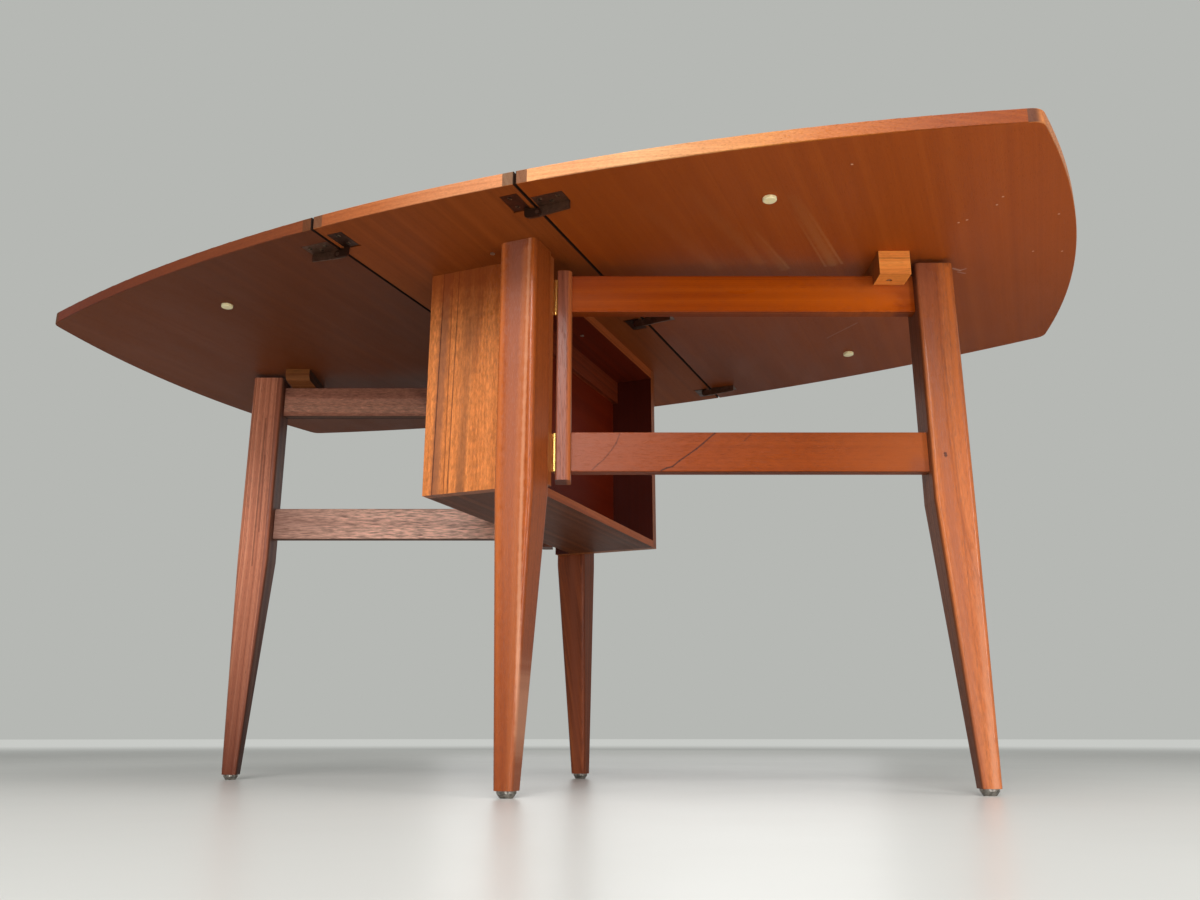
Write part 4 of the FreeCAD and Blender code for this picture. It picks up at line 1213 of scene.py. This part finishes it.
def left_gate() -> Gate:
    """Describes the left gate's woods."""
    turn = {"turn_deg": GATE_TURN_DEG}
    rail = Wood(
        "left_upper_rail_wood", seen(136, 84, 66), seen(184, 122, 98), seen(216, 160, 134), grain=Grain.ALONG_X,
        heart=(-0.4, 0.5), ring=0.009, wander=0.010, contrast=0.5, pores=0.34, figure=0.62, figure_long=0.009,
        figure_wide=0.0026, drift=0.14, matt=0.34, raw_below=0.40, painted_shade_below=0.75, specular=0.24, coat=0.05,
        shift=7.7, **turn)
    # The lower rail's pale pink tones and strong figure are a painted sheen with painted glints, as seen on its
    # front.
    painted_sheen_rail = replace(
        rail, name="left_lower_rail_painted_sheen", deep=seen(172, 120, 102), body=seen(232, 180, 158),
        pale=seen(252, 212, 190), shift=9.4, figure=1.25, figure_long=0.020, figure_wide=0.0024)
    return Gate(
        Side.LEFT,
        leg=Wood(
            "left_gate_leg_wood", seen(150, 86, 63), seen(198, 121, 90), seen(230, 157, 122), heart=(-0.62, 0.16),
            ring=0.009, wander=0.012, contrast=0.75, pores=0.30, figure=0.16, figure_long=0.014, drift=0.10,
            matt=0.34, specular=0.28, coat=0.05, shift=4.2, **turn),
        stile=Wood(
            "left_stile_wood", seen(96, 56, 42), seen(128, 78, 60), seen(150, 96, 76), heart=(-0.2, 0.5),
            ring=0.006, contrast=0.7, matt=0.38, specular=0.30, shift=6.0, **turn),
        upper_rail=rail,
        lower_rail=painted_sheen_rail,
        leg_marks=(
            Streak((0.5300, -0.0300), (0.5300, 0.4200), 0.0800, seen(78, 22, 0), 0.94, (1.0, 0.0)),
            Streak((0.5050, 0.1000), (0.5050, 0.7200), 0.0100, seen(142, 78, 56), 0.50),
            Streak((0.5270, 0.3600), (0.5260, 0.6300), 0.0022, seen(104, 54, 36), 0.60),
            Streak((0.5200, 0.4200), (0.5215, 0.5600), 0.0020, seen(110, 56, 38), 0.50),
        ),
        upper_marks=(Streak((0.2500, 0.7000), (0.2200, 0.6700), 0.0300, seen(96, 58, 48), 0.50),),
        lower_marks=(Streak((0.5400, 0.4385), (0.3200, 0.4385), 0.1000, seen(122, 78, 62), 0.85, (1.0, 0.0)),),
        # Faces that look back are mixed mostly to a plain tone, away from the painted sheen.
        rear_share=0.72,
    )


@dataclass
class SupportBlocks:
    """The stepped blocks that carry the leaves on the gates' rails."""

    wood: Wood = Wood(
        "block_wood", seen(208, 114, 48), seen(244, 148, 66), seen(252, 170, 88), grain=Grain.ALONG_X,
        turn_deg=GATE_TURN_DEG, heart=(0.6, 0.9), ring=0.006, contrast=0.6, pores=0.24, figure=0.10,
        figure_long=0.008, drift=0.06, matt=0.50, specular=0.20, coat=0.0, end=(0.30, 0.24, 0.20), shift=0.3)
    line: Streak = Streak((-0.9, 0.7052), (0.9, 0.7052), 0.0009, seen(120, 62, 26), 0.80)
    level: Place = (0.3, 0.5)

    def block_material(self, wood: Wood) -> bpy.types.Material:
        """Makes a block's finish, with the dark line of its grain across its front.

        Args:
            wood: The block's wood.

        Returns:
            The material.
        """
        graph = Graph(wood.name)
        layer = wood.lay(graph)
        x, _, z = graph.parts(graph.position)
        drawn = self.line.draw(graph, graph.joined(x, z), layer.colour)
        upright = graph.step(graph.math("ABSOLUTE", graph.parts(graph.facing)[2]), *self.level, 1.0, 0.0)
        layer.colour = graph.mixed(upright, layer.colour, drawn)
        return wood.lacquered(graph, layer)

    def build(self) -> None:
        """Dresses the blocks."""
        darker = replace(
            self.wood, name="left_block_wood", deep=seen(104, 56, 22), body=seen(130, 74, 32),
            pale=seen(146, 90, 44), shift=4.3)
        dress(self.block_material(self.wood), "right_support_block")
        dress(self.block_material(darker), "left_support_block")


@dataclass
class Fittings:
    """Hinges, pins, glides and bumper buttons."""

    plates: Metal = Metal("dark_bronze", seen(84, 56, 42), seen(70, 44, 32), (0.30, 0.70), 0.32, 0.020)
    arms: Metal = Metal("worn_bronze", seen(124, 94, 76), seen(92, 66, 52), (0.30, 0.70), 0.30, 0.016)
    brass: Metal = Metal("brass", seen(244, 204, 116), seen(186, 138, 68), (0.55, 0.85), 0.20, 0.009, 0.05)
    nickel: Metal = Metal("dull_nickel", seen(158, 152, 144), seen(92, 86, 80), (0.38, 0.68), 0.28, 0.006)
    cream: Plastic = Plastic("cream_plastic", seen(255, 246, 198), seen(255, 236, 178))

    def build(self) -> None:
        """Dresses the fittings."""
        butts = (*pair("butt_fixed_leaves"), *pair("butt_swing_leaves"), *pair("butt_swing_screws"))
        dress(self.plates.material(), *pair("flap_plates"))
        dress(self.arms.material(), *pair("flap_arms"), "flap_pins")
        dress(self.brass.material(), *butts, "butt_pins", "butt_fixed_screws")
        dress(self.nickel.material(), "front_leg_glide", "rear_leg_glide", *pair("gate_glide"))
        dress(self.cream.material(), *pair("bumpers"))


@dataclass
class SlottedScrews:
    """Countersunk wood screws with a slot, driven upwards, in place of one node's plain ones."""

    node: str
    body: str
    finish: bpy.types.Material
    head: float
    slot_share: float = 0.20
    slot_depth_share: float = 0.55
    neck_share: float = 0.5
    segments: int = 24
    turns: random.Random = field(default_factory=lambda: random.Random(7))

    def shells(self) -> list[tuple[Vector, Vector]]:
        """Finds the node's screws.

        Returns:
            Each screw's lowest and highest corner.
        """
        mesh = bmesh.new()
        mesh.from_mesh(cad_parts[self.node].data)
        bmesh.ops.remove_doubles(mesh, verts=mesh.verts, dist=1e-6)
        mesh.verts.ensure_lookup_table()
        left = set(range(len(mesh.verts)))
        found = []
        while left:
            group, edge = set(), [left.pop()]
            while edge:
                index = edge.pop()
                group.add(index)
                for link in mesh.verts[index].link_edges:
                    other = link.other_vert(mesh.verts[index]).index
                    if other in left:
                        left.remove(other)
                        edge.append(other)
            points = [mesh.verts[index].co for index in group]
            low = Vector(tuple(min(point[axis] for point in points) for axis in range(3)))
            high = Vector(tuple(max(point[axis] for point in points) for axis in range(3)))
            found.append((low, high))
        mesh.free()
        return sorted(found, key=lambda corners: (round(corners[0].x, 4), round(corners[0].y, 4)))

    @staticmethod
    def picked(made: dict[str, list], kind: type) -> list:
        """Picks one kind of thing out of what an operation made.

        Args:
            made: What it made.
            kind: The kind.

        Returns:
            The things.
        """
        return [item for item in made["geom"] if isinstance(item, kind)]

    def add_screw(self, mesh: bmesh.types.BMesh, low: Vector, high: Vector) -> None:
        """Adds one screw, with its slotted face at the bottom.

        Args:
            mesh: The mesh to add it to.
            low: The plain screw's lowest corner.
            high: Its highest corner.
        """
        radius = (high.x - low.x) / 2
        centre = Vector(((low.x + high.x) / 2, (low.y + high.y) / 2, low.z))
        screw = bmesh.new()
        bmesh.ops.create_circle(screw, cap_ends=True, radius=radius, segments=self.segments)
        half = radius * self.slot_share
        for offset in (-half, half):
            everything = screw.verts[:] + screw.edges[:] + screw.faces[:]
            bmesh.ops.bisect_plane(screw, geom=everything, plane_co=(0.0, offset, 0.0), plane_no=(0.0, 1.0, 0.0))
        strip = [face for face in screw.faces if abs(face.calc_center_median().y) < half * 0.5]
        rim = [edge for edge in screw.edges if edge.is_boundary]
        for share, rise in ((1.0, self.head), (self.neck_share, 0.0), (1.0, (high.z - low.z) - self.head)):
            made = bmesh.ops.extrude_edge_only(screw, edges=rim)
            ring = self.picked(made, bmesh.types.BMVert)
            bmesh.ops.scale(screw, verts=ring, vec=(share, share, 1.0))
            bmesh.ops.translate(screw, verts=ring, vec=(0.0, 0.0, rise))
            rim = [edge for edge in self.picked(made, bmesh.types.BMEdge) if edge.is_boundary]
        bmesh.ops.holes_fill(screw, edges=rim, sides=0)
        pushed = self.picked(bmesh.ops.extrude_face_region(screw, geom=strip), bmesh.types.BMVert)
        bmesh.ops.translate(screw, verts=pushed, vec=(0.0, 0.0, self.head * self.slot_depth_share))
        bmesh.ops.delete(screw, geom=[face for face in strip if face.is_valid], context="FACES_ONLY")
        bmesh.ops.remove_doubles(screw, verts=screw.verts, dist=1e-7)
        bmesh.ops.recalc_face_normals(screw, faces=screw.faces)
        bmesh.ops.rotate(screw, verts=screw.verts, cent=(0.0, 0.0, 0.0),
                         matrix=Matrix.Rotation(self.turns.uniform(0.0, math.pi), 3, "Z"))
        bmesh.ops.translate(screw, verts=screw.verts, vec=centre)
        built = bpy.data.meshes.new(self.node + "_one")
        screw.to_mesh(built)
        screw.free()
        mesh.from_mesh(built)
        bpy.data.meshes.remove(built)

    def build(self) -> None:
        """Makes the screws and puts them in place of the node's own."""
        mesh = bmesh.new()
        for low, high in self.shells():
            self.add_screw(mesh, low, high)
        data = bpy.data.meshes.new(self.node + "_slotted")
        mesh.to_mesh(data)
        mesh.free()
        data.materials.append(self.finish)
        piece = bpy.data.objects.new(self.node + "_slotted", data)
        bpy.context.scene.collection.objects.link(piece)
        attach(piece, self.body)
        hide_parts(self.node)
        LOG.info("%s: %d triangles", piece.name, len(data.loop_triangles) or len(data.polygons))


@dataclass(frozen=True)
class Lamp:
    """A soft lamp: where it hangs, the point that it faces, its width, power, and height where it isn't square."""

    name: str
    place: tuple[float, float, float]
    aim: tuple[float, float, float]
    width: float
    watts: float
    height: float = 0.0

    def hang(self) -> None:
        """Hangs the lamp."""
        data = bpy.data.lights.new(self.name, "AREA")
        data.shape = "RECTANGLE"
        data.size = self.width
        data.size_y = self.height or self.width
        data.energy = self.watts
        lamp = bpy.data.objects.new(self.name, data)
        lamp.location = self.place
        lamp.rotation_euler = (Vector(self.aim) - Vector(self.place)).to_track_quat("-Z", "Y").to_euler()
        bpy.context.scene.collection.objects.link(lamp)


@dataclass
class Studio:
    """The pale floor, the soft lamps and the camera."""

    camera_at: tuple[float, float, float] = (0.6734, -1.4294, 0.0702)
    heading_deg: float = 22.592
    tilt_deg: float = 15.608
    lens_mm: float = 30.79
    sensor_mm: float = 36.0
    floor_reach: float = 30.0
    floor_colour: Colour = seen(207, 207, 202)
    far_floor: Colour = seen(200, 202, 198)
    floor_fades: Place = (2.6, 8.0)
    floor_blobs: float = 5.0
    floor_matt: float = 0.34
    floor_wear: float = 0.06
    floor_relief: float = 0.00002
    backdrop: Colour = seen(182, 184, 180)
    ambient: float = 0.11
    lamps: tuple[Lamp, ...] = (
        Lamp("window", (3.0, -1.7, 0.66), (0.2, 0.0, 0.60), 0.45, 26.0, 1.25),
        Lamp("key", (1.3, -3.7, 2.9), (0.1, 0.0, 0.45), 1.8, 130.0),
        Lamp("high_left", (-0.4, -3.9, 3.1), (0.1, 0.0, 0.45), 1.4, 22.0),
        Lamp("pane", (1.25, -3.8, 1.12), (0.1, -0.3, 0.90), 0.5, 32.0, 2.1),
        Lamp("rear", (-1.2, 3.8, 1.7), (0.0, 0.0, 0.5), 2.4, 16.0),
        Lamp("ceiling", (1.5, -1.2, 3.2), (1.3, -1.0, 0.0), 2.4, 60.0),
    )

    def place_camera(self) -> None:
        """Puts the camera where the photograph was taken from."""
        data = bpy.data.cameras.new("camera")
        data.lens = self.lens_mm
        data.sensor_width = self.sensor_mm
        data.clip_start = 0.01
        camera = bpy.data.objects.new("camera", data)
        camera.location = self.camera_at
        camera.rotation_euler = Euler((math.radians(90.0 + self.tilt_deg), 0.0, math.radians(self.heading_deg)))
        bpy.context.scene.collection.objects.link(camera)
        bpy.context.scene.camera = camera

    def lay_floor(self) -> None:
        """Lays the plain pale floor, which turns into a plain pale ground far from the table."""
        mesh = bmesh.new()
        bmesh.ops.create_circle(mesh, cap_ends=True, radius=self.floor_reach, segments=64)
        data = bpy.data.meshes.new("floor")
        mesh.to_mesh(data)
        mesh.free()
        floor = bpy.data.objects.new("floor", data)
        bpy.context.scene.collection.objects.link(floor)
        graph = Graph("pale_floor")
        worn = graph.cloud(graph.position, 3.0, 0.6, self.floor_blobs)
        matt = graph.math("ADD", graph.swing(worn, self.floor_wear), self.floor_matt)
        lit = graph.shaded(Layer(self.floor_colour, matt, worn), self.floor_relief, Specular_IOR_Level=0.35)
        away = graph.step(graph.gap(graph.position, NOTHING), *self.floor_fades)
        ground = graph.node("Emission", self.far_floor).outputs[0]
        surface = graph.node("MixShader", graph.math("MULTIPLY", away, graph.plainly_seen()), lit, ground)
        graph.node("OutputMaterial", surface.outputs[0])
        data.materials.append(graph.owner)

    def light_world(self) -> None:
        """Fills the room with soft light, behind which the backdrop shows plain."""
        graph = Graph("room", "worlds")
        bpy.context.scene.world = graph.owner
        shown = graph.node("Background", self.backdrop).outputs[0]
        soft = graph.node("Background", (1.0, 1.0, 1.0), self.ambient).outputs[0]
        graph.node("OutputWorld", graph.node("MixShader", graph.plainly_seen(), soft, shown).outputs[0])

    def build(self) -> None:
        """Sets the studio up."""
        bpy.context.scene.view_settings.view_transform = "Standard"
        self.place_camera()
        self.lay_floor()
        self.light_world()
        for lamp in self.lamps:
            lamp.hang()


def main() -> None:
    """Dresses the table piece by piece and sets the studio."""
    logging.basicConfig(level=logging.INFO, format="%(name)s: %(message)s")
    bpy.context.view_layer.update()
    TableTop().build()
    StorageBox().build()
    FixedLegs().build()
    right_gate().build()
    left_gate().build()
    SupportBlocks().build()
    Fittings().build()
    steel = Metal("screw_steel", seen(206, 198, 184), seen(120, 108, 94), (0.45, 0.75), 0.28, 0.004).material()
    aged = Metal("aged_screw", seen(150, 128, 104), seen(60, 46, 38), (0.35, 0.60), 0.34, 0.004).material()
    for node, body, finish, head in (
        ("flap_plate_screws", "frame", aged, 0.0007),
        ("right_flap_arm_screws", "right_leaf", aged, 0.0007),
        ("left_flap_arm_screws", "left_leaf", aged, 0.0007),
        ("right_block_screw", "right_leaf", steel, 0.0016),
        ("left_block_screw", "left_leaf", steel, 0.0016),
        ("panel_screws", "frame", steel, 0.0010),
    ):
        SlottedScrews(node, body, finish, head).build()
    Studio().build()


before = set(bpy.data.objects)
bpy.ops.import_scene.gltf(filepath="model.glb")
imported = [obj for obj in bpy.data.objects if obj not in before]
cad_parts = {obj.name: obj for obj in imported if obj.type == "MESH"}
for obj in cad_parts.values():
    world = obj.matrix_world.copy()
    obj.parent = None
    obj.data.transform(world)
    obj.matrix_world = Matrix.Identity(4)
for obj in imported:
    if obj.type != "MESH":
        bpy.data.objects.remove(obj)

if __name__ == "__main__":
    main()
